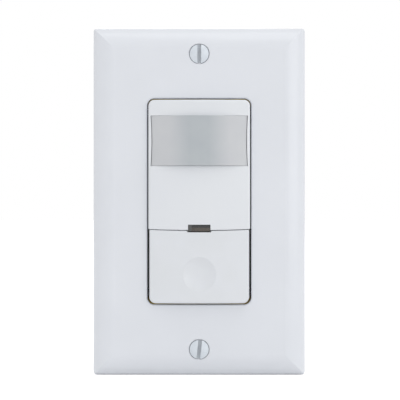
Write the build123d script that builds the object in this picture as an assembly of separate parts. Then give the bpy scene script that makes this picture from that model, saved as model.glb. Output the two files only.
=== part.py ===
from build123d import *
import math
import os

# Wall-mounted occupancy sensor with a one-gang wall plate. Millimetres.
# X runs to the right as seen from the room, Y into the wall, Z up.
# The origin is the centre of the wall plate's back plane, on the wall surface.

os.makedirs("parts", exist_ok=True)

# Wall plate
plate_width = 69.85
plate_height = 114.3
plate_depth = 5.6
plate_wall = 2.0
plate_edge_height = 1.4        # straight side that rises from the wall
plate_edge_radius = 2.4        # tight bend at the rim
plate_shoulder_radius = 9.0    # slow bend up to the flat front
plate_corner_radius = 1.5
opening_width = 34.0
opening_height = 67.5
opening_radius = 2.3
opening_edge_radius = 0.5
plate_screw_inset = 8.73       # from the plate's end to its screw
plate_boss_radius = 4.6
plate_rib_width = 1.2
plate_rib_depth = 1.0
plate_rib_gap = 1.6            # from the opening to the rib beside it

# Plate screws
screw_head_radius = 3.33
screw_dome_height = 0.9
screw_slot_width = 1.3
screw_slot_depth = 1.0
screw_length = 14.0
plate_screw_radius = 1.75
countersink_angle = 82.0
countersink_clearance = 0.12
thread_clearance = 0.05
screw_hole_clearance = 0.3
screw_turns = (0.0, 6.0)       # degrees, upper and lower slot, as left by the fitter

# Mounting strap
strap_thickness = 1.2
strap_end_step = 0.2           # the strap's body runs past the housing by this much
strap_inset = 4.15             # from the plate's end to the strap's
strap_neck_width = 20.0
strap_ear_width = 41.0
strap_ear_height = 7.0
strap_radius = 2.0
strap_window_side = 1.8        # from the device's side to the strap's window
strap_window_end = 2.7         # from the device's end to the strap's window
strap_collar_height = 1.5
strap_collar_wall = 0.9
ear_notch_radius = 0.9
box_screw_step = 6.75          # from a plate screw to the box screw beside it
box_slot_length = 6.0
box_slot_radius = 2.1
ground_tab_width = 7.0
ground_tab_depth = 9.0
ground_tab_gap = 3.0           # from the housing's end
ground_screw_radius = 1.75
ground_head_radius = 3.9
ground_head_height = 2.2
ground_screw_length = 4.4

# Face of the device: cover and button share one crown across X
device_side_gap = 0.4          # to the plate's opening
device_end_gap = 0.55
face_edge_y = -7.2
face_crown = 1.2
device_corner_radius = 2.0
device_edge_radius = 0.7
cover_wall = 1.2
cover_front_wall = 1.5
deck_thickness = 1.2
seam_z = -9.0
seam_bow = 0.33
seam_gap = 0.2
seam_edge_radius = 0.3         # cover and button, along the seam
cut_past = 1.0                 # cuts run past the face that they open
pick_within = 0.01             # edges are picked by their place to this distance
cross_wall_z = -5.6
snap_leg_x = 8.0
snap_leg_width = 5.0
snap_leg_thickness = 1.2
snap_hook_height = 1.2
snap_clearance = 0.2
snap_hook_reach = 0.9
snap_hook_lead = 0.3           # straight part of the hook before its slope

# Lens, its window in the cover and its retainer
lens_cheek = 0.75              # cover left standing at each side of the lens
lens_top_bar = 5.2             # cover above the lens
lens_panel = 20.6              # cover between the lens and the seam
lens_side_bow = 0.3
lens_edge_y = -7.0
lens_bulge = 2.9
lens_wall = 0.8
lens_flange = 0.65
lens_flange_thickness = 0.9
lens_clearance = 0.08          # round the lens and its retainer
lens_side_gap = 0.2            # beside the lens in its window
retainer_depth = 1.8
retainer_rim = 1.7
shroud_wall = 0.8
shroud_end_y = 3.4
shroud_end_half = 5.2
retainer_leg_inset = 3.25      # from the side of the lens window
retainer_leg_rise = 5.2
retainer_leg_radius = 0.9

# Indicator window
indicator_width = 7.15
indicator_height = 2.1
indicator_top_z = -7.6
indicator_front_y = -8.3
indicator_clearance = 0.08
indicator_lip = 0.7
indicator_lip_depth = 0.8
light_pipe_width = 6.0
light_pipe_end_y = 2.2
pipe_clearance = 0.3

# Push button
button_side_step = 0.35        # narrower than the cover at each side
button_wall = 1.2
button_front_wall = 1.6
button_skirt_y = -3.6
button_top_wall = 1.1
pivot_y = -4.0
pivot_z = -12.8
pivot_radius = 0.9
pivot_clearance = 0.05
pivot_lug_width = 1.5
pivot_lug_gap = 0.35
pivot_lug_wall = 0.6
pivot_ear_width = 3.4
press_rise = 9.5               # from the device's lower end to the press point
press_radius = 1.5
press_gap = 0.2
dish_radius = 5.7
dish_depth = 0.6

# Boards
board_thickness = 1.6
control_board_y = 7.5          # front surface
control_board_side_gap = 2.5   # to the housing's wall
board_end_gap = 3.3
board_notch_gap = 0.5          # to the housing's screw posts
power_board_y = 28.2
power_board_side_gap = 2.0
pin_tail = 0.8

# Push switch on the control board
switch_size = 6.0
switch_body_height = 2.9
switch_cover_thickness = 0.3
plunger_radius = 1.7
plunger_clearance = 0.08
plunger_top_y = -1.7
plunger_flange_radius = 2.2
plunger_flange_height = 0.7
plunger_travel = 0.25

# Trimmers and their knobs
trimmer_pitch = 9.0
trimmer_z = -16.3
trimmer_size = 6.2
trimmer_height = 3.6
knob_radius = 2.45
knob_height = 1.2
knob_clearance = 0.25
knob_recess = 0.2
knob_shaft_radius = 1.25
knob_shaft_depth = 2.6
knob_slot_width = 0.8
knob_slot_depth = 0.6
shaft_clearance = 0.05

# Heat sensor, lamp, daylight sensor, microcontroller, header
can_radius = 4.15
can_brim_radius = 4.6
can_brim_height = 0.6
can_height = 4.3
can_window_width = 4.0
can_window_height = 3.0
can_window_depth = 0.3
lead_radius = 0.25
lead_circle_radius = 2.54
lamp_x = -1.8
lamp_radius = 1.45
lamp_length = 4.9
lamp_brim_radius = 1.7
lamp_brim_height = 0.9
chip_width = 7.5
chip_length = 10.3
chip_height = 2.2
chip_side_gap = 4.85           # from the board's side to the leads
chip_z = 3.0
chip_lead_pitch = 1.27
chip_lead_count = 8
chip_lead_width = 0.42
chip_lead_reach = 1.4
header_pin_spacing = 2.54
header_pins = 5
header_x = 1.0
header_edge_gap = 2.0          # from the board's top edge to the pins
header_pin_size = 0.64
header_block_depth = 2.5

# Rear housing
housing_side_step = 5.2        # the housing runs past the device by this much
housing_end_step = 0.9
housing_depth = 33.0
housing_wall = 1.8
housing_radius = 3.0
housing_draft = 1.0
housing_back_radius = 1.5
post_inset = 4.2               # from the housing's sides and ends to the long screws
post_radius = 3.7
post_front_thickness = 10.0    # from the strap to the seat of the screw head
housing_screw_radius = 1.45
housing_head_radius = 2.5
housing_head_height = 1.6
housing_recess_reach = 1.5
housing_recess_width = 0.8
housing_well_radius = 2.8
housing_tip_inset = 0.2        # screw tips stay behind the strap's front
board_rest_size = 3.0
board_rest_z = 20.8

# Side terminals
terminal_z = 13.0              # line above, load below, neutral level on the other side
terminal_recess_depth = 5.0
terminal_recess_width = 9.0
terminal_recess_length = 8.0
terminal_recess_wall = 1.5
blade_thickness = 1.0
blade_width = 4.0
blade_plate_size = 7.2
clamp_size = 6.8
clamp_thickness = 0.9
clamp_gap = 0.05
terminal_screw_radius = 1.75
terminal_head_radius = 3.2
terminal_head_height = 2.0
terminal_screw_length = 5.0
terminal_screw_clearance = 0.3

# Power board parts
relay_width = 15.4
relay_length = 19.0
relay_height = 15.4
part_gap = 0.8                 # between parts that stand side by side
relay_z = -10.6
relay_wall = 0.8
relay_base_height = 2.0
coil_radius = 4.4
coil_height = 8.4
coil_z_offset = -1.6
core_rise = 0.2                # the core stands out of the bobbin
bobbin_flange = 0.8
bobbin_size = 9.6
core_radius = 1.8
yoke_thickness = 1.3
yoke_width = 8.0
yoke_gap = 0.5
yoke_foot = 1.0                # the base leg runs past the core
armature_thickness = 1.1
armature_range = 4.0
contact_radius = 1.1
contact_z_offset = 5.4
contact_height = 0.7
contact_post_width = 3.0
contact_post_thickness = 0.6
film_cap_width = 7.5
film_cap_length = 18.0
film_cap_height = 13.5
film_cap_z = -12.0
filter_cap_radius = 5.0
filter_cap_height = 12.5
varistor_radius = 5.0
varistor_thickness = 4.0
diode_radius = 1.35
diode_length = 5.2
diode_count = 4
diode_leg_radius = 0.375
diode_pitch = 2.9
diode_x = -6.0
diode_rise = 0.5
resistor_radius = 1.7
resistor_length = 8.0
resistor_x = 0.0
resistor_z = 7.0
leg_radius = 0.5
part_rise = 0.4                # bodies with bent legs stand off the board by this much

# Values that follow from the ones above
device_width = opening_width - 2 * device_side_gap
device_height = opening_height - 2 * device_end_gap
device_top_z = device_height / 2
press_z = press_rise - device_top_z
button_width = device_width - 2 * button_side_step
housing_width = device_width + 2 * housing_side_step
housing_height = device_height + 2 * housing_end_step
strap_width = housing_width
strap_body_height = housing_height + 2 * strap_end_step
strap_window_width = device_width - 2 * strap_window_side
strap_window_height = device_height - 2 * strap_window_end
ground_tab_z = -(housing_height + ground_tab_width) / 2 - ground_tab_gap
lens_window_width = device_width - 2 * lens_cheek
lens_window_height = device_top_z - seam_z - lens_top_bar - lens_panel
lens_z = device_top_z - lens_top_bar - lens_window_height / 2
retainer_leg_x = lens_window_width / 2 - retainer_leg_inset
strap_front_y = -strap_thickness
crown_radius = ((device_width / 2) ** 2 + face_crown**2) / (2 * face_crown)
lens_half = lens_window_width / 2 - lens_side_gap
lens_radius = (lens_half**2 + lens_bulge**2) / (2 * lens_bulge)
deck_front_y = strap_front_y - deck_thickness
cover_inside_y = face_edge_y + cover_front_wall
plate_screw_z = plate_height / 2 - plate_screw_inset
box_screw_z = plate_screw_z - box_screw_step
strap_height = plate_height - 2 * strap_inset
control_board_back_y = control_board_y + board_thickness
power_board_back_y = power_board_y + board_thickness
housing_floor_y = housing_depth - housing_wall
press_end_y = plunger_top_y - press_gap
dish_curve = (dish_radius**2 + dish_depth**2) / (2 * dish_depth)
terminal_floor_x = housing_width / 2 - terminal_recess_depth
terminal_front_y = control_board_back_y + terminal_recess_wall
terminal_back_y = terminal_front_y + terminal_recess_length
terminal_mid_y = (terminal_front_y + terminal_back_y) / 2
terminal_inner_x = terminal_floor_x - terminal_recess_wall
clamp_x = terminal_floor_x + blade_thickness + clamp_gap
terminal_seat_x = clamp_x + clamp_thickness + clamp_gap
post_x = housing_width / 2 - post_inset
post_z = housing_height / 2 - post_inset
board_notch_x = post_x - post_radius - board_notch_gap
board_notch_z = post_z - post_radius - board_notch_gap
control_board_width = housing_width - 2 * (housing_wall + control_board_side_gap)
power_board_width = housing_width - 2 * (housing_wall + power_board_side_gap)
board_height = housing_height - 2 * (housing_wall + board_end_gap)
chip_x = chip_side_gap + chip_lead_reach + (chip_width - control_board_width) / 2
board_rest_x = control_board_width / 2 - board_rest_size
header_z = board_height / 2 - header_edge_gap
diode_top_z = header_z - header_pin_spacing / 2 - part_gap - diode_radius
diode_low_z = diode_top_z - (diode_count - 1) * diode_pitch
filter_cap_x = terminal_inner_x - part_gap - filter_cap_radius
filter_cap_z = diode_low_z - diode_radius - part_gap - filter_cap_radius
varistor_z = filter_cap_z + filter_cap_radius + part_gap + varistor_radius
relay_x = terminal_screw_length - terminal_seat_x + part_gap + relay_width / 2
film_cap_x = (relay_x + relay_width / 2 + board_rest_x) / 2


# Shapes used by several pieces


def block(x0, x1, y0, y1, z0, z1):
    """A box given by its limits."""
    centre = ((x0 + x1) / 2, (y0 + y1) / 2, (z0 + z1) / 2)
    return Pos(*centre) * Box(x1 - x0, y1 - y0, z1 - z0)


def slab(outline, y0, y1):
    """An outline drawn in X and Z, made solid between two depths."""
    plane = Plane(origin=(0, y1, 0), x_dir=(1, 0, 0), z_dir=(0, -1, 0))
    return extrude(plane * outline, y1 - y0)


def rod(x, z, y0, y1, radius):
    """A round rod along Y."""
    return Pos(x, (y0 + y1) / 2, z) * Rot(90, 0, 0) * Cylinder(radius, y1 - y0)


def cross_rod(x0, x1, y, z, radius):
    """A round rod along X."""
    return Pos((x0 + x1) / 2, y, z) * Rot(0, 90, 0) * Cylinder(radius, x1 - x0)


def turned(points):
    """A body turned about the Y axis; the points are (radius, depth)."""
    return revolve(make_face(Polyline(*points, close=True)), Axis.Y)


def on_circle(centre, radius, angle):
    """The point of a circle at an angle in radians."""
    return (centre[0] + radius * math.cos(angle), centre[1] + radius * math.sin(angle))


def arc_between(centre, radius, start, end):
    """The arc of a circle from one angle to the other."""
    middle = on_circle(centre, radius, (start + end) / 2)
    return ThreePointArc(on_circle(centre, radius, start), middle, on_circle(centre, radius, end))


def save(name, *solids):
    """Write one node: a single solid, or a group of separate ones."""
    shape = solids[0] if len(solids) == 1 else Compound(children=list(solids))
    export_step(shape, f"parts/{name}.step")


# Wall plate: a moulded shell whose shoulders meet in mitres at the corners


def plate_section(half, inset, depth_beyond):
    """Half width or height of the plate as a closed profile, pushed inwards by inset."""
    rim = (half - plate_edge_radius, -plate_edge_height)
    rise = plate_shoulder_radius - (plate_depth - plate_edge_height)
    run = math.sqrt((plate_shoulder_radius - plate_edge_radius) ** 2 - rise**2)
    shoulder = (rim[0] - run, plate_shoulder_radius - plate_depth)
    turn = math.atan2(rim[1] - shoulder[1], rim[0] - shoulder[0])
    edge = arc_between(rim, plate_edge_radius - inset, 0, turn)
    bend = arc_between(shoulder, plate_shoulder_radius - inset, turn, -math.pi / 2)
    side = Line((half - inset, depth_beyond), edge @ 0)
    front = Line(bend @ 1, (0, (bend @ 1).Y))
    profile = Curve() + [side, edge, bend, front]
    back = Line((0, (bend @ 1).Y), (0, depth_beyond))
    return make_face(profile + [back, Line((0, depth_beyond), (half - inset, depth_beyond))])


def plate_shell(inset, depth_beyond):
    """The block of the plate's outside, or of its hollow."""
    half_across = plate_section(plate_width / 2, inset, depth_beyond)
    half_along = plate_section(plate_height / 2, inset, depth_beyond)
    across = half_across + mirror(half_across, Plane.YZ)
    along = half_along + mirror(half_along, Plane.YZ)
    upright = Plane(origin=(0, 0, 0), x_dir=(0, 0, 1), z_dir=(-1, 0, 0))
    return extrude(across, plate_height, both=True) & extrude(upright * along, plate_width, both=True)


def countersink(z, radius, shank):
    """The cone under a countersunk head and the hole behind it, opening at the plate's front."""
    drop = (radius - shank) / math.tan(math.radians(countersink_angle / 2))
    front = -plate_depth
    points = [(0, front), (radius, front), (shank, front + drop), (shank, 0), (0, 0)]
    return Pos(0, 0, z) * turned(points)


def wall_plate():
    outline = slab(RectangleRounded(plate_width, plate_height, plate_corner_radius), -plate_depth, 0)
    shell = plate_shell(0, 0) & outline
    shell -= plate_shell(plate_wall, cut_past)
    inside_y = plate_wall - plate_depth
    for side in (-1, 1):
        shell += rod(0, side * plate_screw_z, inside_y, strap_front_y, plate_boss_radius)
        rib_x = side * (opening_width / 2 + plate_rib_gap)
        shell += block(
            rib_x - plate_rib_width / 2,
            rib_x + plate_rib_width / 2,
            inside_y,
            inside_y + plate_rib_depth,
            -opening_height / 2,
            opening_height / 2,
        )
    shell -= slab(RectangleRounded(opening_width, opening_height, opening_radius), -plate_depth, 0)
    near = -plate_depth - pick_within
    front = shell.edges().filter_by_position(Axis.Y, near, near + 2 * pick_within)
    rim = [edge for edge in front if abs(edge.center().X) <= opening_width / 2 + pick_within]
    rim = [edge for edge in rim if abs(edge.center().Z) <= opening_height / 2 + pick_within]
    shell = fillet(rim, opening_edge_radius)
    shank_hole = plate_screw_radius + screw_hole_clearance
    for side in (-1, 1):
        head_hole = screw_head_radius + countersink_clearance
        shell -= countersink(side * plate_screw_z, head_hole, shank_hole)
    return shell


def plate_screw(z, turn):
    """An oval-head slotted screw, its slot turned from upright by some degrees."""
    drop = (screw_head_radius - plate_screw_radius) / math.tan(math.radians(countersink_angle / 2))
    front = -plate_depth
    tip = front + screw_length
    dome_radius = (screw_head_radius**2 + screw_dome_height**2) / (2 * screw_dome_height)
    dome_centre = (0, front - screw_dome_height + dome_radius)
    rim_angle = -math.acos(screw_head_radius / dome_radius)
    dome = arc_between(dome_centre, dome_radius, -math.pi / 2, rim_angle)
    rest = Polyline(
        (screw_head_radius, front),
        (plate_screw_radius, front + drop),
        (plate_screw_radius, tip - plate_screw_radius / 2),
        (plate_screw_radius / 2, tip),
        (0, tip),
        (0, front - screw_dome_height),
    )
    screw = revolve(make_face(dome + rest), Axis.Y)
    slot_floor = front - screw_dome_height + screw_slot_depth
    slot = block(
        -screw_slot_width / 2,
        screw_slot_width / 2,
        front - screw_dome_height,
        slot_floor,
        -screw_head_radius,
        screw_head_radius,
    )
    return Pos(0, 0, z) * (screw - Rot(0, turn, 0) * slot)


# Mounting strap: stamped steel with plaster ears, tapped collars and a bent ground tab


def mounting_strap():
    outline = RectangleRounded(strap_width, strap_body_height, strap_radius)
    outline += Rectangle(strap_neck_width, strap_height - strap_ear_height)
    ear = RectangleRounded(strap_ear_width, strap_ear_height, strap_radius)
    ear_z = (strap_height - strap_ear_height) / 2
    for side in (-1, 1):
        outline += Pos(0, side * ear_z) * ear
        for end in (-1, 1):
            notch_x = end * (strap_neck_width / 2 + ear_notch_radius)
            outline -= Pos(notch_x, side * strap_height / 2) * Circle(ear_notch_radius)
        slot = SlotOverall(box_slot_length, 2 * box_slot_radius, rotation=90)
        outline -= Pos(0, side * box_screw_z) * slot
    outline -= RectangleRounded(strap_window_width, strap_window_height, strap_radius)
    strap = slab(outline, strap_front_y, 0)
    tab_z0 = ground_tab_z - ground_tab_width / 2
    tab_x = -strap_neck_width / 2
    tab = block(
        tab_x, tab_x + strap_thickness, 0, ground_tab_depth, tab_z0, tab_z0 + ground_tab_width
    )
    tab = chamfer(tab.edges().filter_by(Axis.X).sort_by(Axis.Y)[-2:], strap_radius / 2)
    strap += tab
    tapped = plate_screw_radius + thread_clearance
    corner_tapped = housing_screw_radius + thread_clearance
    for side in (-1, 1):
        z = side * plate_screw_z
        strap += rod(0, z, 0, strap_collar_height, tapped + strap_collar_wall)
        strap -= rod(0, z, strap_front_y, strap_collar_height, tapped)
    for x, z in corner_posts():
        strap -= rod(x, z, strap_front_y, 0, corner_tapped)
    ground_y = ground_tab_depth / 2
    strap -= cross_rod(
        tab_x, tab_x + strap_thickness, ground_y, ground_tab_z, ground_screw_radius + thread_clearance
    )
    return strap


def side_screw(head_radius, head_height, radius, length, hexagonal):
    """A slotted screw lying along X, its head on the low side and its shank towards +X."""
    if hexagonal:
        head = extrude(Plane.YZ * RegularPolygon(head_radius, 6), -head_height)
    else:
        head = cross_rod(-head_height, 0, 0, 0, head_radius)
    rim = [edge for edge in head.edges() if abs(edge.center().X + head_height) < pick_within]
    head = chamfer(rim, head_height / 6)
    shank = cross_rod(0, length, 0, 0, radius)
    shank = chamfer(shank.edges().filter_by(GeomType.CIRCLE).sort_by(Axis.X)[-1], radius / 3)
    slot_half = head_radius / 6
    slot = block(
        -head_height, -head_height / 2, -slot_half, slot_half, -head_radius, head_radius
    )
    return head + shank - slot


def ground_screw():
    screw = side_screw(
        ground_head_radius, ground_head_height, ground_screw_radius, ground_screw_length, True
    )
    return Pos(-strap_neck_width / 2, ground_tab_depth / 2, ground_tab_z) * screw


# Crowned front shared by the cover and the button


def crowned_bar(half_width, z0, z1, inset, y_back):
    """A bar with the crowned front across X; inset pushes the front back for hollows."""
    side_drop = crown_radius - math.sqrt(crown_radius**2 - half_width**2)
    peak = face_edge_y - face_crown + inset
    edge_y = peak + side_drop
    section = ThreePointArc((-half_width, edge_y), (0, peak), (half_width, edge_y))
    frame = Polyline(
        (half_width, edge_y), (half_width, y_back), (-half_width, y_back), (-half_width, edge_y)
    )
    return Pos(0, 0, z0) * extrude(make_face(section + frame), z1 - z0)


def seam_outline(edge_z, far_z, half_width):
    """Area from the bowed seam to a far level, in X and Z."""
    seam = ThreePointArc((-half_width, edge_z), (0, edge_z - seam_bow), (half_width, edge_z))
    frame = Polyline(
        (half_width, edge_z), (half_width, far_z), (-half_width, far_z), (-half_width, edge_z)
    )
    return make_face(seam + frame)


def front_edges(body):
    return [edge for edge in body.edges() if edge.center().Y < face_edge_y + pick_within]


def crowned_face(width, edge_z, far_z, y_back):
    """The face softened all round, cut off along the seam at edge_z and softened there too."""
    front_y = face_edge_y - face_crown
    face = crowned_bar(width / 2, -device_top_z, device_top_z, 0, y_back)
    face &= slab(RectangleRounded(width, device_height, device_corner_radius), front_y, y_back)
    face = fillet(front_edges(face), device_edge_radius)
    face &= slab(seam_outline(edge_z, far_z, width / 2), front_y, y_back)
    seam = min(front_edges(face), key=lambda edge: abs(edge.center().Z - edge_z))
    return fillet(seam, seam_edge_radius)


# Front cover: top bar, cheeks, middle panel, and the deck under the button


def lens_outline(side_gap, end_gap):
    """The window of the lens, its sides drawn in at mid height, moved inwards by two gaps."""
    half_w = lens_window_width / 2 - side_gap
    half_h = lens_window_height / 2 - end_gap
    bow = lens_side_bow
    right = ThreePointArc((half_w, -half_h), (half_w - bow, 0), (half_w, half_h))
    left = ThreePointArc((-half_w, half_h), (bow - half_w, 0), (-half_w, -half_h))
    top = Line((half_w, half_h), (-half_w, half_h))
    bottom = Line((-half_w, -half_h), (half_w, -half_h))
    return Pos(0, lens_z) * make_face(Curve() + [right, top, left, bottom])


def snap_leg(x, side):
    """One leg through the strap's window, hooked behind its end."""
    outer = strap_window_height / 2 - snap_clearance
    inner = outer - snap_leg_thickness
    hook = outer + snap_clearance + snap_hook_reach
    tip_y = snap_hook_height + snap_clearance
    profile = [
        (deck_front_y, inner),
        (tip_y, inner),
        (tip_y, outer),
        (snap_clearance + snap_hook_lead, hook),
        (snap_clearance / 2, hook),
        (snap_clearance / 2, outer),
        (deck_front_y, outer),
    ]
    face = make_face(Polyline(*[(y, side * z) for y, z in profile], close=True))
    leg = extrude(Plane.YZ * face, snap_leg_width / 2, both=True)
    return Pos(x, 0, 0) * leg


def front_cover():
    shell = crowned_face(device_width, seam_z, device_top_z, strap_front_y)
    outline = RectangleRounded(device_width, device_height, device_corner_radius)
    front_y = face_edge_y - face_crown
    inner = device_width / 2 - cover_wall
    shell -= block(
        -inner, inner, cover_inside_y, strap_front_y, cross_wall_z, device_top_z - cover_wall
    )
    shell -= block(
        -inner, inner, cover_inside_y, deck_front_y, seam_z - cut_past, cross_wall_z - cover_wall
    )
    deck_middle = (cross_wall_z - device_top_z) / 2
    deck_area = Pos(0, deck_middle) * Rectangle(device_width, device_top_z + cross_wall_z)
    shell += slab(outline & deck_area, deck_front_y, strap_front_y)
    # Window and pocket of the lens
    shell -= slab(lens_outline(0, 0), front_y, cover_inside_y)
    pocket_x = lens_window_width / 2 + lens_clearance
    pocket_z = lens_window_height / 2 + lens_flange + lens_clearance
    shell -= block(
        -pocket_x, pocket_x, cover_inside_y, strap_front_y, lens_z - pocket_z, lens_z + pocket_z
    )
    # Notch and passage of the indicator window
    notch = indicator_width / 2 + indicator_clearance
    notch_top = indicator_top_z + indicator_clearance
    notch_low = indicator_top_z - indicator_height - pipe_clearance
    shell -= block(-notch, notch, front_y, cover_inside_y, seam_z - cut_past, notch_top)
    passage = light_pipe_width / 2 + pipe_clearance
    passage_top = indicator_top_z + pipe_clearance
    shell -= block(-passage, passage, deck_front_y, strap_front_y, notch_low, passage_top)
    # Lugs that carry the button's pins
    lug_outer = button_width / 2 - button_wall - pivot_lug_gap
    lug_radius = pivot_radius + pivot_clearance + pivot_lug_wall
    bore = pivot_radius + pivot_clearance
    for side in (-1, 1):
        x0, x1 = sorted((side * (lug_outer - pivot_lug_width), side * lug_outer))
        shell += block(x0, x1, pivot_y, deck_front_y, pivot_z - lug_radius, pivot_z + lug_radius)
        shell += cross_rod(x0, x1, pivot_y, pivot_z, lug_radius)
        shell -= cross_rod(x0, x1, pivot_y, pivot_z, bore)
    # Holes for the button's post and the knobs
    post_hole = press_radius + 2 * pipe_clearance
    shell -= rod(0, press_z, deck_front_y, strap_front_y, post_hole)
    for step in (-1, 0, 1):
        knob_hole = knob_radius + knob_clearance
        shell -= rod(step * trimmer_pitch, trimmer_z, deck_front_y, strap_front_y, knob_hole)
    # Floor strip at the top and the four snap legs
    strip = strap_window_height / 2 - snap_clearance - snap_leg_thickness
    shell += block(-inner, inner, deck_front_y, strap_front_y, strip, device_top_z - cover_wall)
    for side in (-1, 1):
        for x in (-snap_leg_x, snap_leg_x):
            shell += snap_leg(x, side)
    return shell


# Lens and its retainer


def lens_bar(inset, y_back, z0, z1):
    """The bulging section of the lens along Z, pushed inwards for its hollow."""
    half_w = lens_half - inset
    radius = lens_radius - inset
    centre_y = lens_edge_y - lens_bulge + lens_radius
    edge_y = centre_y - math.sqrt(radius**2 - half_w**2)
    section = ThreePointArc((-half_w, edge_y), (0, centre_y - radius), (half_w, edge_y))
    frame = Polyline((half_w, edge_y), (half_w, y_back), (-half_w, y_back), (-half_w, edge_y))
    return Pos(0, 0, z0) * extrude(make_face(section + frame), z1 - z0)


def lens():
    half_h = lens_window_height / 2 - lens_clearance
    flange_back = cover_inside_y + lens_flange_thickness
    front = lens_edge_y - lens_bulge
    body = lens_bar(0, flange_back, lens_z - half_h, lens_z + half_h)
    body &= slab(lens_outline(lens_side_gap, lens_clearance), front, flange_back)
    flange_w = lens_window_width
    flange_h = lens_window_height + 2 * lens_flange
    body += slab(Pos(0, lens_z) * Rectangle(flange_w, flange_h), cover_inside_y, flange_back)
    hollow_h = half_h - lens_wall
    body -= lens_bar(lens_wall + lens_side_bow, flange_back, lens_z - hollow_h, lens_z + hollow_h)
    return body


def lens_retainer():
    front_y = cover_inside_y + lens_flange_thickness
    back_y = front_y + retainer_depth
    width = lens_window_width - lens_clearance
    height = lens_window_height + 2 * lens_flange - lens_clearance
    mouth_w = width - 2 * retainer_rim
    mouth_h = height - 2 * retainer_rim
    frame = slab(Pos(0, lens_z) * Rectangle(width, height), front_y, back_y)
    start = Plane(origin=(0, back_y, lens_z), x_dir=(1, 0, 0), z_dir=(0, -1, 0))
    end = Plane(origin=(0, shroud_end_y, lens_z), x_dir=(1, 0, 0), z_dir=(0, -1, 0))
    around = 2 * shroud_wall
    end_side = 2 * shroud_end_half
    outside_start = start * Rectangle(mouth_w + around, mouth_h + around)
    outside = loft([outside_start, end * Rectangle(end_side + around, end_side + around)])
    inside = loft([start * Rectangle(mouth_w, mouth_h), end * Rectangle(end_side, end_side)])
    mouth = slab(Pos(0, lens_z) * Rectangle(mouth_w, mouth_h), front_y, back_y)
    retainer = frame + outside - inside - mouth
    for x in (-retainer_leg_x, retainer_leg_x):
        for rise in (-retainer_leg_rise, retainer_leg_rise):
            retainer += rod(x, lens_z + rise, back_y, control_board_y, retainer_leg_radius)
    return retainer


def indicator_window():
    low = indicator_top_z - indicator_height
    half = indicator_width / 2
    pane = block(-half, half, indicator_front_y, cover_inside_y, low, indicator_top_z)
    lip = half + indicator_lip
    lip_y = cover_inside_y + indicator_lip_depth
    pane += block(-lip, lip, cover_inside_y, lip_y, seam_z, indicator_top_z + indicator_lip)
    pipe = light_pipe_width / 2
    pane += block(-pipe, pipe, cover_inside_y, light_pipe_end_y, low, indicator_top_z)
    return pane


# Push button: a shell with pins near its top, a post behind and a thumb dish


def push_button():
    half = button_width / 2
    top = seam_z - seam_gap
    bottom = -device_top_z
    front_y = face_edge_y - face_crown
    shell = crowned_face(button_width, top, bottom, button_skirt_y)
    inner = half - button_wall
    hollow_top = top - seam_bow - button_top_wall
    shell -= crowned_bar(inner, bottom + button_wall, hollow_top, button_front_wall, button_skirt_y)
    # Thumb dish, a shallow bowl
    shell -= Pos(0, front_y + dish_depth - dish_curve, press_z) * Sphere(dish_curve)
    # Notch that leaves room for the indicator window
    notch = indicator_width / 2 + pipe_clearance
    low = indicator_top_z - indicator_height - pipe_clearance
    shell -= block(-notch, notch, front_y, button_skirt_y, low, seam_z)
    # Ears and pins
    pin_inner = inner - pivot_lug_gap - pivot_lug_width - pivot_clearance
    ear_back = pivot_y + pivot_radius
    for side in (-1, 1):
        x0, x1 = sorted((side * inner, side * half))
        ear = pivot_ear_width / 2
        shell += block(x0, x1, pivot_y, ear_back, pivot_z - ear, pivot_z + ear)
        p0, p1 = sorted((side * pin_inner, side * half))
        shell += cross_rod(p0, p1, pivot_y, pivot_z, pivot_radius)
    # Post behind the dish, rounded at its end
    post = rod(0, press_z, front_y + button_front_wall, press_end_y, press_radius)
    post = fillet(post.edges().filter_by(GeomType.CIRCLE).sort_by(Axis.Y)[-1], press_radius / 2)
    return shell + post


# Push switch and trimmers on the control board


def switch_parts():
    body_top = control_board_y - switch_body_height
    half = switch_size / 2
    body = block(-half, half, body_top, control_board_y, press_z - half, press_z + half)
    body = chamfer(body.edges().filter_by(Axis.Y), switch_size / 12)
    well = plunger_flange_radius + plunger_clearance
    flange_back = body_top + plunger_flange_height
    body -= rod(0, press_z, body_top, flange_back + 2 * plunger_travel, well)
    cover_top = body_top - switch_cover_thickness
    cover = block(-half, half, cover_top, body_top, press_z - half, press_z + half)
    cover = chamfer(cover.edges().filter_by(Axis.Y), switch_size / 12)
    for side in (-1, 1):
        z0, z1 = sorted((press_z + side * half, press_z + side * (half + switch_cover_thickness)))
        clip_half = switch_size / 4
        clip_end = control_board_y - switch_body_height / 4
        cover += block(-clip_half, clip_half, cover_top, clip_end, z0, z1)
    cover -= rod(0, press_z, cover_top, body_top, plunger_radius + plunger_clearance)
    edge = plunger_radius / 4
    plunger = turned(
        [
            (0, plunger_top_y),
            (plunger_radius - edge, plunger_top_y),
            (plunger_radius, plunger_top_y + edge),
            (plunger_radius, body_top),
            (plunger_flange_radius, body_top),
            (plunger_flange_radius, flange_back),
            (0, flange_back),
        ]
    )
    return body, cover, Pos(0, 0, press_z) * plunger


def trimmer_body(x):
    half = trimmer_size / 2
    front = control_board_y - trimmer_height
    body = block(x - half, x + half, front, control_board_y, trimmer_z - half, trimmer_z + half)
    body = chamfer(body.edges().filter_by(Axis.Y), trimmer_size / 10)
    bore = knob_shaft_radius + shaft_clearance
    return body - rod(x, trimmer_z, front, front + knob_shaft_depth + shaft_clearance, bore)


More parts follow.
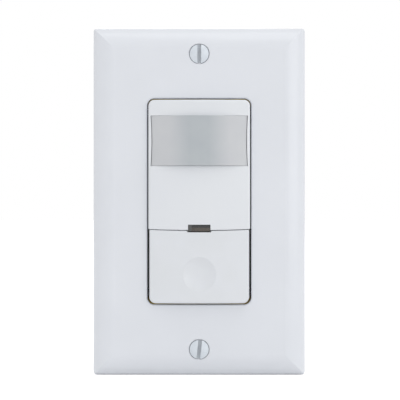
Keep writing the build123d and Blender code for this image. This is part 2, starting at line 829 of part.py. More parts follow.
def adjusting_knob(x):
    """A disc with a screwdriver slot on a shaft that turns in its trimmer."""
    head_y = deck_front_y + knob_recess
    front = control_board_y - trimmer_height
    shaft_end = front + knob_shaft_depth
    edge = knob_height / 6
    knob = turned(
        [
            (0, head_y),
            (knob_radius - edge, head_y),
            (knob_radius, head_y + edge),
            (knob_radius, head_y + knob_height),
            (knob_shaft_radius, head_y + knob_height),
            (knob_shaft_radius, shaft_end),
            (0, shaft_end),
        ]
    )
    half = knob_slot_width / 2
    reach = knob_radius * 0.8
    slot_floor = head_y + knob_slot_depth
    knob -= block(-half, half, head_y, slot_floor, -reach, reach)
    # An arrow head at the upper end of the slot shows where the knob points
    arrow = make_face(Polyline((0, reach), (2 * half, reach / 2), (-2 * half, reach / 2), close=True))
    knob -= slab(arrow, head_y, slot_floor)
    return Pos(x, 0, trimmer_z) * knob


# Boards and what stands on them


def board(width, height, y0):
    """A circuit board whose corners are cut away round the housing's screw posts."""
    outline = Rectangle(width, height)
    for side in (-1, 1):
        for end in (-1, 1):
            cut_w = width / 2 - board_notch_x
            cut_h = height / 2 - board_notch_z
            centre = (end * (board_notch_x + cut_w / 2), side * (board_notch_z + cut_h / 2))
            outline -= Pos(*centre) * Rectangle(cut_w, cut_h)
    return slab(outline, y0, y0 + board_thickness)


def header_places():
    middle = (header_pins - 1) / 2
    return [header_x + (index - middle) * header_pin_spacing for index in range(header_pins)]


def header_holes(y0, y1):
    """Square holes for the header's pins."""
    hole = header_pin_size / 2 + thread_clearance
    low = header_z - hole
    high = header_z + hole
    return [block(x - hole, x + hole, y0, y1, low, high) for x in header_places()]


def can_lead_places():
    angles = (30, 150, 270)
    return [on_circle((0, lens_z), lead_circle_radius, math.radians(angle)) for angle in angles]


def control_board():
    shape = board(control_board_width, board_height, control_board_y)
    shape -= header_holes(control_board_y, control_board_back_y)
    for x, z in can_lead_places():
        shape -= rod(x, z, control_board_y, control_board_back_y, lead_radius + thread_clearance)
    return shape


def pir_sensor():
    top = control_board_y - can_height
    edge = can_brim_height / 2
    can = turned(
        [
            (0, top),
            (can_radius - edge, top),
            (can_radius, top + edge),
            (can_radius, control_board_y - can_brim_height),
            (can_brim_radius, control_board_y - can_brim_height),
            (can_brim_radius, control_board_y),
            (0, control_board_y),
        ]
    )
    can = Pos(0, 0, lens_z) * can
    half_w = can_window_width / 2
    half_h = can_window_height / 2
    can -= block(-half_w, half_w, top, top + can_window_depth, lens_z - half_h, lens_z + half_h)
    for x, z in can_lead_places():
        can += rod(x, z, control_board_y, control_board_back_y + pin_tail, lead_radius)
    return can


def pir_window():
    top = control_board_y - can_height
    half_w = can_window_width / 2
    half_h = can_window_height / 2
    return block(-half_w, half_w, top, top + can_window_depth, lens_z - half_h, lens_z + half_h)


def round_lamp(x, length):
    """A small lamp or sensor in a clear capsule, its dome towards the room."""
    base = control_board_y
    dome_y = base - length
    shoulder = dome_y + lamp_radius
    dome = arc_between((0, shoulder), lamp_radius, -math.pi / 2, 0)
    rest = Polyline(
        (lamp_radius, shoulder),
        (lamp_radius, base - lamp_brim_height),
        (lamp_brim_radius, base - lamp_brim_height),
        (lamp_brim_radius, base),
        (0, base),
        (0, dome_y),
    )
    z = indicator_top_z - indicator_height / 2
    return Pos(x, 0, z) * revolve(make_face(dome + rest), Axis.Y)


def microcontroller():
    half_w = chip_width / 2
    top = control_board_y - chip_height
    outline = Pos(chip_x, chip_z) * Rectangle(chip_width, chip_length)
    chip = slab(outline, top, control_board_y - part_rise / 2)
    chip = chamfer(chip.faces().sort_by(Axis.Y)[0].edges(), chip_height / 8)
    lead_y = control_board_y - chip_height / 2
    foot = chip_lead_width / 2
    for side in (-1, 1):
        for index in range(chip_lead_count):
            z = chip_z + (index - (chip_lead_count - 1) / 2) * chip_lead_pitch
            near = chip_x + side * half_w
            knee = near + side * chip_lead_reach / 2
            far = near + side * chip_lead_reach
            x0, x1 = sorted((near, knee))
            chip += block(x0, x1, lead_y, lead_y + foot, z - foot, z + foot)
            x0, x1 = sorted((knee - side * foot, knee))
            chip += block(x0, x1, lead_y, control_board_y, z - foot, z + foot)
            x0, x1 = sorted((knee, far))
            chip += block(x0, x1, control_board_y - foot, control_board_y, z - foot, z + foot)
    return chip


def board_header():
    row = Rectangle(header_pins * header_pin_spacing, header_pin_spacing)
    strip = Pos(header_x, header_z) * row
    header = slab(strip, control_board_back_y, control_board_back_y + header_block_depth)
    header += slab(strip, power_board_y - header_block_depth, power_board_y)
    for x in header_places():
        pin = Pos(x, header_z) * Rectangle(header_pin_size, header_pin_size)
        header += slab(pin, control_board_y - pin_tail, power_board_back_y + pin_tail)
    return header


# Rear housing: a moulded tub with screw posts, side terminals and rests for the boards


def terminal_sides():
    """Side (-1 left, 1 right) and height of each side terminal: line, load, neutral."""
    return ((-1, terminal_z), (-1, -terminal_z), (1, 0.0))


def corner_posts():
    """Across and height of the four long screws."""
    return [(end * post_x, side * post_z) for end in (-1, 1) for side in (-1, 1)]


def side_block(side, x0, x1, y0, y1, z, half):
    """A box on one side of the middle plane, centred on a height."""
    low, high = sorted((side * x0, side * x1))
    return block(low, high, y0, y1, z - half, z + half)


def rear_housing():
    back = Plane(origin=(0, 0, 0), x_dir=(1, 0, 0), z_dir=(0, 1, 0))
    outer = RectangleRounded(housing_width, housing_height, housing_radius)
    tub = extrude(back * outer, housing_depth, taper=housing_draft)
    tub = fillet(tub.faces().sort_by(Axis.Y)[-1].edges(), housing_back_radius)
    whole = tub
    inner = RectangleRounded(
        housing_width - 2 * housing_wall, housing_height - 2 * housing_wall, housing_radius / 2
    )
    tub -= extrude(back * inner, housing_floor_y, taper=housing_draft)
    for x, z in corner_posts():
        tub += rod(x, z, 0, housing_floor_y, post_radius) & whole
    # Terminal recesses, each a pocket with its own walls
    side_x = housing_width / 2
    wall = terminal_recess_wall
    inner_x = terminal_inner_x
    half = terminal_recess_width / 2
    slot = blade_width / 2 + thread_clearance
    blade_x = terminal_floor_x + blade_thickness + thread_clearance
    front_y = terminal_front_y
    back_y = terminal_back_y
    for side, z in terminal_sides():
        tub += side_block(side, inner_x, side_x, front_y - wall, back_y + wall, z, half + wall) & whole
        tub -= side_block(side, terminal_floor_x, side_x, front_y, back_y, z, half)
        tub -= side_block(side, terminal_floor_x, blade_x, back_y, back_y + wall, z, slot)
        x0, x1 = sorted((side * inner_x, side * terminal_floor_x))
        tub -= cross_rod(x0, x1, terminal_mid_y, z, terminal_screw_radius + terminal_screw_clearance)
    # Rests: two ribs for the control board, four pads for the power board
    half = board_rest_size / 2
    board_x = power_board_width / 2 + thread_clearance
    for z in (-board_rest_z, board_rest_z):
        rest = side_block(1, board_rest_x, side_x, control_board_back_y, housing_floor_y, z, half / 2)
        rest -= side_block(1, board_rest_x, board_x, power_board_y, power_board_back_y, z, half / 2)
        tub += rest & whole
    for end in (-1, 1):
        pad_x = board_notch_x - board_rest_size
        for z in (-board_notch_z, board_notch_z):
            tub += side_block(
                end, pad_x - half, pad_x + half, power_board_back_y, housing_floor_y, z, half
            )
    # Wells for the long screws, from the back to the seat of their heads
    for x, z in corner_posts():
        tub -= rod(x, z, post_front_thickness, housing_depth, housing_well_radius)
        tub -= rod(x, z, 0, post_front_thickness, housing_screw_radius + screw_hole_clearance)
    return tub


def housing_screw(x, z):
    seat = post_front_thickness
    tip = strap_front_y + housing_tip_inset
    head_top = seat + housing_head_height
    edge = housing_head_height / 4
    screw = turned(
        [
            (0, head_top),
            (housing_head_radius - edge, head_top),
            (housing_head_radius, head_top - edge),
            (housing_head_radius, seat),
            (housing_screw_radius, seat),
            (housing_screw_radius, tip + housing_screw_radius / 2),
            (housing_screw_radius / 2, tip),
            (0, tip),
        ]
    )
    arm = housing_recess_reach
    thin = housing_recess_width / 2
    floor_y = seat + housing_head_height / 2
    screw -= block(-arm, arm, floor_y, head_top, -thin, thin)
    screw -= block(-thin, thin, floor_y, head_top, -arm, arm)
    return Pos(x, 0, z) * screw


def terminal_blade(side, z):
    """Tapped plate on the floor of its recess, running back as a blade into the power board."""
    x1 = terminal_floor_x + blade_thickness
    half = blade_plate_size / 2
    near_y = terminal_mid_y - half
    blade = side_block(side, terminal_floor_x, x1, near_y, near_y + blade_plate_size, z, half)
    tail_y = power_board_back_y + pin_tail
    blade += side_block(side, terminal_floor_x, x1, terminal_mid_y, tail_y, z, blade_width / 2)
    x_low, x_high = sorted((side * terminal_floor_x, side * x1))
    return blade - cross_rod(x_low, x_high, terminal_mid_y, z, terminal_screw_radius + thread_clearance)


def wire_clamp(side, z):
    """Square washer under a terminal screw, its edges bent in to hold a bare wire."""
    x1 = clamp_x + clamp_thickness
    half = clamp_size / 2
    clamp = side_block(side, clamp_x, x1, terminal_mid_y - half, terminal_mid_y + half, z, half)
    clamp = chamfer(clamp.edges().filter_by(Axis.X), clamp_size / 8)
    x_low, x_high = sorted((side * clamp_x, side * x1))
    hole = terminal_screw_radius + terminal_screw_clearance
    return clamp - cross_rod(x_low, x_high, terminal_mid_y, z, hole)


def terminal_screw(side, z):
    screw = side_screw(
        terminal_head_radius, terminal_head_height, terminal_screw_radius, terminal_screw_length, False
    )
    if side > 0:
        screw = Rot(0, 0, 180) * screw
    return Pos(side * terminal_seat_x, terminal_mid_y, z) * screw


def diode_level(index):
    return diode_low_z + index * diode_pitch


def leg_places():
    """Across, height and radius of each wire leg that goes through the power board."""
    diode_reach = diode_length / 2 + diode_radius
    resistor_reach = resistor_length / 2 + resistor_radius
    legs = []
    for side in (-1, 1):
        for index in range(diode_count):
            legs.append((diode_x + side * diode_reach, diode_level(index), diode_leg_radius))
        legs.append((filter_cap_x, varistor_z + side * varistor_radius / 2, leg_radius))
        legs.append((resistor_x, resistor_z + side * resistor_reach, leg_radius))
    return legs


def power_board():
    shape = board(power_board_width, board_height, power_board_y)
    for x, z, radius in leg_places():
        shape -= rod(x, z, power_board_y, power_board_back_y, radius + thread_clearance)
    shape -= header_holes(power_board_y, power_board_back_y)
    near_x = terminal_floor_x - thread_clearance
    far_x = power_board_width / 2
    slot = blade_width / 2 + thread_clearance
    for side, z in terminal_sides():
        shape -= side_block(side, near_x, far_x, power_board_y, power_board_back_y, z, slot)
    return shape


# Relay: base and case, coil on its core, yoke, armature with its contact, fixed contact


def relay_places():
    """Depths inside the relay, counted from the power board towards the room."""
    base_top = power_board_y - relay_base_height
    yoke_top = base_top - yoke_thickness
    coil_top = yoke_top - coil_height
    core_top = coil_top - core_rise
    return base_top, yoke_top, coil_top, core_top


def relay_base():
    base_top = relay_places()[0]
    outline = Rectangle(relay_width, relay_length)
    step = 2 * (relay_wall + thread_clearance)
    ring = outline - Rectangle(relay_width - step, relay_length - step)
    base = slab(Pos(relay_x, relay_z) * outline, base_top, power_board_y)
    return base - slab(Pos(relay_x, relay_z) * ring, base_top, power_board_y - relay_base_height / 2)


def relay_case():
    front = power_board_y - relay_height
    base_low = power_board_y - relay_base_height / 2
    middle = Pos(relay_x, relay_z)
    outline = middle * RectangleRounded(relay_width, relay_length, relay_wall)
    inside = middle * Rectangle(relay_width - 2 * relay_wall, relay_length - 2 * relay_wall)
    case = slab(outline, front, base_low)
    case = fillet(case.faces().sort_by(Axis.Y)[0].edges(), relay_wall / 2)
    return case - slab(inside, front + relay_wall, base_low)


def relay_coil():
    yoke_top, coil_top = relay_places()[1:3]
    z = relay_z + coil_z_offset
    half = bobbin_size / 2
    coil = rod(relay_x, z, coil_top, yoke_top, coil_radius)
    for y0 in (coil_top, yoke_top - bobbin_flange):
        coil += block(relay_x - half, relay_x + half, y0, y0 + bobbin_flange, z - half, z + half)
    return coil - rod(relay_x, z, coil_top, yoke_top, core_radius + thread_clearance)


def relay_yoke():
    base_top, yoke_top = relay_places()[:2]
    core_top = relay_places()[3]
    z = relay_z + coil_z_offset
    half = yoke_width / 2
    back_z = z - bobbin_size / 2 - yoke_gap
    low_z = back_z - yoke_thickness
    foot_z = z + core_radius + yoke_foot
    yoke = block(relay_x - half, relay_x + half, yoke_top, base_top, low_z, foot_z)
    yoke += block(relay_x - half, relay_x + half, core_top, base_top, low_z, back_z)
    return yoke + rod(relay_x, z, core_top, yoke_top, core_radius)


def relay_hinge():
    """Axis of the armature's round nose, over the yoke's outer edge: depth and height."""
    nose = armature_thickness / 2
    z = relay_z + coil_z_offset - bobbin_size / 2 - yoke_gap - yoke_thickness + nose
    return relay_places()[3] - thread_clearance - nose, z


def relay_armature():
    """The armature, tilted open, with a round nose and the moving contact on its free end."""
    hinge_y, hinge_z = relay_hinge()
    half = yoke_width / 2
    nose = armature_thickness / 2
    contact_z = relay_z + contact_z_offset - hinge_z
    shoulder = contact_z - 2 * contact_radius
    arm = cross_rod(-half, half, 0, 0, nose)
    arm += block(-half, half, -nose, nose, 0, shoulder)
    arm += block(-contact_radius, contact_radius, -nose, nose, shoulder, contact_z)
    arm += rod(0, contact_z, -nose, nose + contact_height / 2, contact_radius)
    return Pos(relay_x, hinge_y, hinge_z) * Rot(armature_range, 0, 0) * arm


def relay_contacts():
    """The fixed contact on its post, which stands on the base beyond the coil."""
    base_top = relay_places()[0]
    z = relay_z + contact_z_offset
    top = relay_places()[3] + contact_height / 2
    half = contact_post_width / 2
    thick = contact_post_thickness
    outer_z = z + contact_radius
    shelf_y = top + contact_height
    x0 = relay_x - half
    x1 = relay_x + half
    post = block(x0, x1, shelf_y, base_top, outer_z - thick, outer_z)
    post += block(x0, x1, shelf_y, shelf_y + thick, z - contact_radius, outer_z)
    return post + rod(relay_x, z, top, shelf_y, contact_radius)


# Other parts of the power board


def film_capacitor():
    outline = Pos(film_cap_x, film_cap_z) * Rectangle(film_cap_width, film_cap_length)
    body = slab(outline, power_board_y - film_cap_height, power_board_y)
    return chamfer(body.edges().filter_by(Axis.Y), film_cap_width / 12)


def filter_capacitor(x, z):
    """An aluminium can with the crimp ring near its foot."""
    top = power_board_y - filter_cap_height
    r = filter_cap_radius
    edge = r / 10
    crimp = power_board_y - filter_cap_height / 6
    can = turned(
        [
            (0, top),
            (r - edge, top),
            (r, top + edge),
            (r, crimp - edge),
            (r - edge, crimp),
            (r, crimp + edge),
            (r, power_board_y),
            (0, power_board_y),
        ]
    )
    return Pos(x, 0, z) * can


def varistor():
    y = power_board_y - part_rise - varistor_radius
    half = varistor_thickness / 2
    disc = cross_rod(filter_cap_x - half, filter_cap_x + half, y, varistor_z, varistor_radius)
    disc = fillet(disc.edges().filter_by(GeomType.CIRCLE), half / 2)
    for side in (-1, 1):
        leg_z = varistor_z + side * varistor_radius / 2
        disc += rod(filter_cap_x, leg_z, y, power_board_back_y, leg_radius)
    return disc


def rectifier_diode(index):
    """A diode lying across X with its legs bent down into the board."""
    z = diode_level(index)
    y = power_board_y - diode_rise - diode_radius
    body = cross_rod(diode_x - diode_length / 2, diode_x + diode_length / 2, y, z, diode_radius)
    reach = diode_length / 2 + diode_radius
    body += cross_rod(diode_x - reach, diode_x + reach, y, z, diode_leg_radius)
    for side in (-1, 1):
        body += rod(diode_x + side * reach, z, y, power_board_back_y, diode_leg_radius)
    return body


def fuse_resistor():
    y = power_board_y - part_rise - resistor_radius
    half = resistor_length / 2
    body = Pos(resistor_x, y, resistor_z) * Cylinder(resistor_radius, resistor_length)
    body = fillet(body.edges().filter_by(GeomType.CIRCLE), resistor_radius / 2)
    for side in (-1, 1):
        z = resistor_z + side * (half + resistor_radius)
        body += Pos(resistor_x, y, (resistor_z + z) / 2) * Cylinder(leg_radius, abs(z - resistor_z))
        body += rod(resistor_x, z, y, power_board_back_y, leg_radius)
    return body


# Write every node

save("wall_plate", wall_plate())
save(
    "plate_screws",
    *[plate_screw(side * plate_screw_z, turn) for side, turn in zip((1, -1), screw_turns)],
)
save("mounting_strap", mounting_strap())
save("ground_screw", ground_screw())
save("front_cover", front_cover())
save("lens", lens())
save("lens_retainer", lens_retainer())
save("indicator_window", indicator_window())
save("push_button", push_button())

switch_body, switch_cover, switch_plunger = switch_parts()
save("switch_body", switch_body)
save("switch_cover", switch_cover)
save("switch_plunger", switch_plunger)
trimmer_places = [step * trimmer_pitch for step in (-1, 0, 1)]
save("trimmer_bodies", *[trimmer_body(x) for x in trimmer_places])
for knob_name, knob_x in zip(("time_knob", "light_knob", "range_knob"), trimmer_places):
    save(knob_name, adjusting_knob(knob_x))
save("control_board", control_board())
save("pir_sensor", pir_sensor())
save("pir_window", pir_window())
save("status_led", round_lamp(lamp_x, lamp_length))
save("daylight_sensor", round_lamp(-lamp_x, lamp_length))
save("microcontroller", microcontroller())
save("board_header", board_header())

save("rear_housing", rear_housing())
save(
    "housing_screws",
    *[housing_screw(x, z) for x, z in corner_posts()],
)
blade_names = ("line_terminal", "load_terminal", "neutral_terminal")
for blade_name, (blade_side, blade_z) in zip(blade_names, terminal_sides()):
    save(blade_name, terminal_blade(blade_side, blade_z))
save("brass_terminal_screws", *[terminal_screw(side, z) for side, z in terminal_sides()[:2]])
save("neutral_screw", terminal_screw(*terminal_sides()[2]))
save("wire_clamps", *[wire_clamp(side, z) for side, z in terminal_sides()])
save("power_board", power_board())
save("relay_base", relay_base())
save("relay_case", relay_case())
save("relay_coil", relay_coil())
save("relay_yoke", relay_yoke())
save("relay_armature", relay_armature())
save("relay_contacts", relay_contacts())
save("film_capacitor", film_capacitor())
save("filter_capacitors", *[filter_capacitor(x, filter_cap_z) for x in (-filter_cap_x, filter_cap_x)])
save("varistor", varistor())
save("rectifier_diodes", *[rectifier_diode(index) for index in range(diode_count)])
save("fuse_resistor", fuse_resistor())
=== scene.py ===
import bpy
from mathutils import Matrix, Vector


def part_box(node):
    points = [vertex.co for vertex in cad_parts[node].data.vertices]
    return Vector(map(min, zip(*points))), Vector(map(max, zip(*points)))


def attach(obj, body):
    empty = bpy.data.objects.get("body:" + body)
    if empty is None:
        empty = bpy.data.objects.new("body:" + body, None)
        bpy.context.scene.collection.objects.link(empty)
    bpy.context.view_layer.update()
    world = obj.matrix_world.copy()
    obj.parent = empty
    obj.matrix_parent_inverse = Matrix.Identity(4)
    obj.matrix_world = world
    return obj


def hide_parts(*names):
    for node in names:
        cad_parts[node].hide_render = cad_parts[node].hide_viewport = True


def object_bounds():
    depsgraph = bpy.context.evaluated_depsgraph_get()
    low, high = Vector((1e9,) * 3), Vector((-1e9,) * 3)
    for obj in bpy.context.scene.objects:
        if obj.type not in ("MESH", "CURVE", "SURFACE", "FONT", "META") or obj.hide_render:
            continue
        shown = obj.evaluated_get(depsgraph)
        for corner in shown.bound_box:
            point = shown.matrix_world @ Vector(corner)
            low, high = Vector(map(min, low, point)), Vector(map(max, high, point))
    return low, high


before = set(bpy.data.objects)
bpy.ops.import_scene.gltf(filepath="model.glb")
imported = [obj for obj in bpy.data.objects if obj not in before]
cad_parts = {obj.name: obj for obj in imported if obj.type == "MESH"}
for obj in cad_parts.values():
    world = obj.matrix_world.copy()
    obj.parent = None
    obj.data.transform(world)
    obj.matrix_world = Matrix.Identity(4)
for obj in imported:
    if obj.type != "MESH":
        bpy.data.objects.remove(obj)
cad_box = [list(corner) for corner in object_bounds()]

import math

import bmesh
import bpy
from mathutils import Matrix, Vector

# Rear housing: the tub in the wall box, moulded in dark glass-filled thermoplastic with
# drafted sides. The mould was spark-eroded, which leaves an even, dull grain.
MM = 0.001
NOISE_LOW = 0.35
NOISE_HIGH = 0.65


def linear(hex_colour):
    """An sRGB hex colour as the linear colour that a shader takes."""
    parts = [int(hex_colour[start : start + 2], 16) / 255 for start in (0, 2, 4)]
    lit = [part / 12.92 if part <= 0.04045 else ((part + 0.055) / 1.055) ** 2.4 for part in parts]
    return (*lit, 1.0)


def add(tree, kind, inputs=None, **settings):
    """Adds a node with its settings; an input takes a value or the output that feeds it."""
    node = tree.nodes.new(kind)
    for name, value in settings.items():
        setattr(node, name, value)
    for name, value in (inputs or {}).items():
        if isinstance(value, bpy.types.NodeSocket):
            tree.links.new(value, node.inputs[name])
        else:
            node.inputs[name].default_value = value
    return node


def finish(name, colour, **sockets):
    """A material with one Principled shader, its constants set on the shader's own sockets."""
    material = bpy.data.materials.new(name)
    material.use_nodes = True
    shader = material.node_tree.nodes["Principled BSDF"]
    shader.inputs["Base Color"].default_value = linear(colour)
    for socket, value in sockets.items():
        shader.inputs[socket.replace("_", " ")].default_value = value
    return material


def place_on(material, stretch=(1, 1, 1)):
    """The object's own coordinates, stretched where a pattern runs one way."""
    tree = material.node_tree
    place = add(tree, "ShaderNodeTexCoord")
    inputs = {"Vector": place.outputs["Object"], "Scale": stretch}
    return add(tree, "ShaderNodeMapping", inputs).outputs["Vector"]


def mottle(material, size_mm, stretch=(1, 1, 1), detail=2.0):
    """Uneven patches, about as wide as the size given."""
    place = place_on(material, stretch)
    inputs = {"Vector": place, "Scale": 1 / (size_mm * MM), "Detail": detail}
    return add(material.node_tree, "ShaderNodeTexNoise", inputs).outputs[0]


def relief(material, height, height_mm):
    """Feeds a height to the shader as bump, on top of any relief that is there already."""
    tree = material.node_tree
    normal = tree.nodes["Principled BSDF"].inputs["Normal"]
    bump = add(tree, "ShaderNodeBump", {"Height": height, "Distance": height_mm * MM})
    if normal.is_linked:
        tree.links.new(normal.links[0].from_socket, bump.inputs["Normal"])
    tree.links.new(bump.outputs["Normal"], normal)


def tint(material, pattern, colours, low=NOISE_LOW, high=NOISE_HIGH):
    """Colours the surface from one colour to the other as the pattern goes from low to high."""
    tree = material.node_tree
    share = add(tree, "ShaderNodeMapRange", {"Value": pattern, "From Min": low, "From Max": high})
    mix = add(tree, "ShaderNodeMix", {0: share.outputs["Result"]}, data_type="RGBA")
    for number, colour in zip((6, 7), colours):
        if isinstance(colour, str):
            mix.inputs[number].default_value = linear(colour)
        else:
            tree.links.new(colour, mix.inputs[number])
    tree.links.new(mix.outputs[2], tree.nodes["Principled BSDF"].inputs["Base Color"])
    return mix.outputs[2]


def polish(material, pattern, smooth, rough):
    """Makes the surface smoother and rougher in patches, as handling and the mould leave it."""
    tree = material.node_tree
    inputs = {
        "Value": pattern,
        "From Min": NOISE_LOW,
        "From Max": NOISE_HIGH,
        "To Min": smooth,
        "To Max": rough,
    }
    spread = add(tree, "ShaderNodeMapRange", inputs).outputs["Result"]
    tree.links.new(spread, tree.nodes["Principled BSDF"].inputs["Roughness"])


def dress(material, *nodes):
    """Gives CAD nodes their material."""
    for node in nodes:
        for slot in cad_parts[node].material_slots:
            slot.material = material


housing_pbt = finish("grained_filled_thermoplastic", "2A2B2E", Roughness=0.5, IOR=1.55)
tint(housing_pbt, mottle(housing_pbt, size_mm=0.45, detail=3.0), ("242528", "303135"))
relief(housing_pbt, mottle(housing_pbt, size_mm=0.45), height_mm=0.03)
polish(housing_pbt, mottle(housing_pbt, size_mm=6.0), smooth=0.44, rough=0.56)
dress(housing_pbt, "rear_housing")

# Terminals: brass blades, stamped and left bare, slid into recesses in the housing's sides,
# with nickel-plated clamp plates that bite on the wire under each screw head. The sheet's
# rolling lines give the brass a streaky, soft gloss.
brass = finish("stamped_brass", "C9A24E", Metallic=1.0, Roughness=0.3)
tint(brass, mottle(brass, size_mm=2.5), ("C29A47", "D0AB59"))
relief(brass, mottle(brass, size_mm=0.2, stretch=(1, 0.08, 1)), height_mm=0.003)
polish(brass, mottle(brass, size_mm=1.5), smooth=0.24, rough=0.38)
dress(brass, "line_terminal", "load_terminal", "neutral_terminal")
nickel = finish("nickel_plated_brass", "C6C3BC", Metallic=1.0, Roughness=0.26)
tint(nickel, mottle(nickel, size_mm=2.0), ("BFBCB5", "CECBC4"))
relief(nickel, mottle(nickel, size_mm=0.2), height_mm=0.003)
polish(nickel, mottle(nickel, size_mm=1.2), smooth=0.22, rough=0.34)
dress(nickel, "wire_clamps")

# Terminal screws: binding screws with a slot, turned from brass on the hot side and nickel
# plated on the neutral side so that the two can't be mixed up. The thread is rolled.
SIDE_HEAD_RADIUS = 3.2
SIDE_HEAD_HEIGHT = 2.0
SIDE_SLOT_WIDTH = 1.07
SIDE_SLOT_DEPTH = 1.0
MACHINE_PITCH = 0.79
MACHINE_ROOT = 1.4
MACHINE_CREST = 1.75
SIDE_HEAD_ROUND = 0.5
HEAD_CHAMFER = 0.1
THREAD_RUNOUT = 0.5
THREAD_CORNERS = 4
POINTS_PER_TURN = 24
ROUND_SEGMENTS = 48
SHARP_DEGREES = 35.0
MERGE_DISTANCE = 0.001
CUTTER_OVERSHOOT = 1.0


def box_of(node):
    """The lowest and the highest corner of a CAD node's box, in millimetres."""
    return [Vector(corner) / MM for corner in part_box(node)]


def turned(outline, segments=ROUND_SEGMENTS, first_angle=0.0):
    """A solid turned about Z from an outline of (radius, height) points in millimetres."""
    shape = bmesh.new()
    points = [shape.verts.new((radius * MM, 0, z * MM)) for radius, z in outline]
    edges = [shape.edges.new(pair) for pair in zip(points, points[1:])]
    bmesh.ops.spin(shape, geom=points + edges, axis=(0, 0, 1), angle=math.tau, steps=segments)
    turn = Matrix.Rotation(math.radians(first_angle), 3, "Z")
    bmesh.ops.rotate(shape, verts=shape.verts, matrix=turn)
    bmesh.ops.remove_doubles(shape, verts=shape.verts, dist=MERGE_DISTANCE * MM)
    bmesh.ops.recalc_face_normals(shape, faces=shape.faces)
    return shape


def brick(low, high):
    """A block between two corners in millimetres."""
    shape = bmesh.new()
    bmesh.ops.create_cube(shape, size=1.0)
    for vert in shape.verts:
        ends = zip(low, high, vert.co)
        vert.co = [MM * (high_end if side > 0 else low_end) for low_end, high_end, side in ends]
    return shape


def made(name, shape):
    """An object in the scene with a shape as its mesh."""
    mesh = bpy.data.meshes.new(name)
    shape.to_mesh(mesh)
    shape.free()
    obj = bpy.data.objects.new(name, mesh)
    bpy.context.scene.collection.objects.link(obj)
    return obj


def keep_result(obj):
    """Turns what an object's modifiers make into its plain mesh."""
    evaluated = obj.evaluated_get(bpy.context.evaluated_depsgraph_get())
    mesh = bpy.data.meshes.new_from_object(evaluated)
    obj.modifiers.clear()
    obj.data = mesh


def combine(obj, operation, shape):
    """Joins a shape to an object, or cuts it out of it."""
    other = made("other", shape)
    boolean = obj.modifiers.new(operation, "BOOLEAN")
    boolean.operation = operation
    boolean.solver = "EXACT"
    boolean.object = other
    keep_result(obj)
    bpy.data.objects.remove(other)


def grow_tree(name, kinds):
    """An empty Geometry Nodes tree with named inputs, and its inputs' outputs."""
    tree = bpy.data.node_groups.new(name, "GeometryNodeTree")
    for label, kind in kinds.items():
        tree.interface.new_socket(label, in_out="INPUT", socket_type="NodeSocket" + kind)
    tree.interface.new_socket("Result", in_out="OUTPUT", socket_type="NodeSocketGeometry")
    return tree, add(tree, "NodeGroupInput").outputs


def run_tree(obj, tree, **values):
    """Runs a tree on an object, its inputs set by their identifiers, and keeps the mesh."""
    maker = obj.modifiers.new(tree.name, "NODES")
    maker.node_group = tree
    sockets = {item.name: item.identifier for item in tree.interface.items_tree}
    for label, value in values.items():
        maker[sockets[label.replace("_", " ")]] = value
    keep_result(obj)
    for number in reversed(range(len(obj.data.materials))):
        if obj.data.materials[number] is None:
            obj.data.materials.pop(index=number)
    obj.data.shade_smooth()
    obj.data.set_sharp_from_angle(angle=math.radians(SHARP_DEGREES))


def helix(tree, radius, length, pitch, ridge, corners, points_per_turn):
    """Nodes for a ridge or wire wound about Z, as a mesh output."""
    turns = add(tree, "ShaderNodeMath", {0: length, 1: pitch}, operation="DIVIDE")
    inputs = {
        "Resolution": points_per_turn,
        "Rotations": turns.outputs[0],
        "Start Radius": radius,
        "End Radius": radius,
        "Height": length,
    }
    line = add(tree, "GeometryNodeCurveSpiral", inputs)
    upright = add(tree, "GeometryNodeSetCurveNormal", {"Curve": line.outputs["Curve"]}, mode="Z_UP")
    section = add(tree, "GeometryNodeCurvePrimitiveCircle", {"Resolution": corners, "Radius": ridge})
    inputs = {
        "Curve": upright.outputs["Curve"],
        "Profile Curve": section.outputs["Curve"],
        "Fill Caps": True,
    }
    return add(tree, "GeometryNodeCurveToMesh", inputs).outputs["Mesh"]


screw_inputs = {
    "Places": "Geometry",
    "Head": "Object",
    "Root": "Float",
    "Crest": "Float",
    "Pitch": "Float",
    "Thread start": "Float",
    "Thread length": "Float",
    "Coat": "Material",
    "Bare metal": "Material",
}
screw_tree, given = grow_tree("threaded_screws", screw_inputs)
inputs = {0: given["Crest"], 1: given["Root"]}
ridge = add(screw_tree, "ShaderNodeMath", inputs, operation="SUBTRACT")
thread_mesh = helix(
    screw_tree,
    given["Root"],
    given["Thread length"],
    given["Pitch"],
    ridge.outputs[0],
    THREAD_CORNERS,
    POINTS_PER_TURN,
)
start = add(screw_tree, "ShaderNodeCombineXYZ", {"Z": given["Thread start"]})
inputs = {"Geometry": thread_mesh, "Translation": start.outputs[0]}
moved = add(screw_tree, "GeometryNodeTransform", inputs)
inputs = {"Geometry": moved.outputs[0], "Name": "bare", "Value": True}
marked = add(
    screw_tree, "GeometryNodeStoreNamedAttribute", inputs, data_type="BOOLEAN", domain="FACE"
)
head_mesh = add(screw_tree, "GeometryNodeObjectInfo", {"Object": given["Head"]})
joined = add(screw_tree, "GeometryNodeJoinGeometry", {"Geometry": marked.outputs[0]})
screw_tree.links.new(head_mesh.outputs["Geometry"], joined.inputs["Geometry"])
aim = add(screw_tree, "GeometryNodeInputNamedAttribute", {"Name": "aim"}, data_type="FLOAT_VECTOR")
inputs = {
    "Points": given["Places"],
    "Instance": joined.outputs["Geometry"],
    "Rotation": aim.outputs["Attribute"],
}
placed = add(screw_tree, "GeometryNodeInstanceOnPoints", inputs)
real = add(screw_tree, "GeometryNodeRealizeInstances", {"Geometry": placed.outputs["Instances"]})
inputs = {"Geometry": real.outputs["Geometry"], "Material": given["Coat"]}
coated = add(screw_tree, "GeometryNodeSetMaterial", inputs)
# The second material goes on bare metal, and on the plate screws' rim and slot walls as painted shade.
bare_and_shade_flag = add(screw_tree, "GeometryNodeInputNamedAttribute", {"Name": "bare"}, data_type="BOOLEAN")
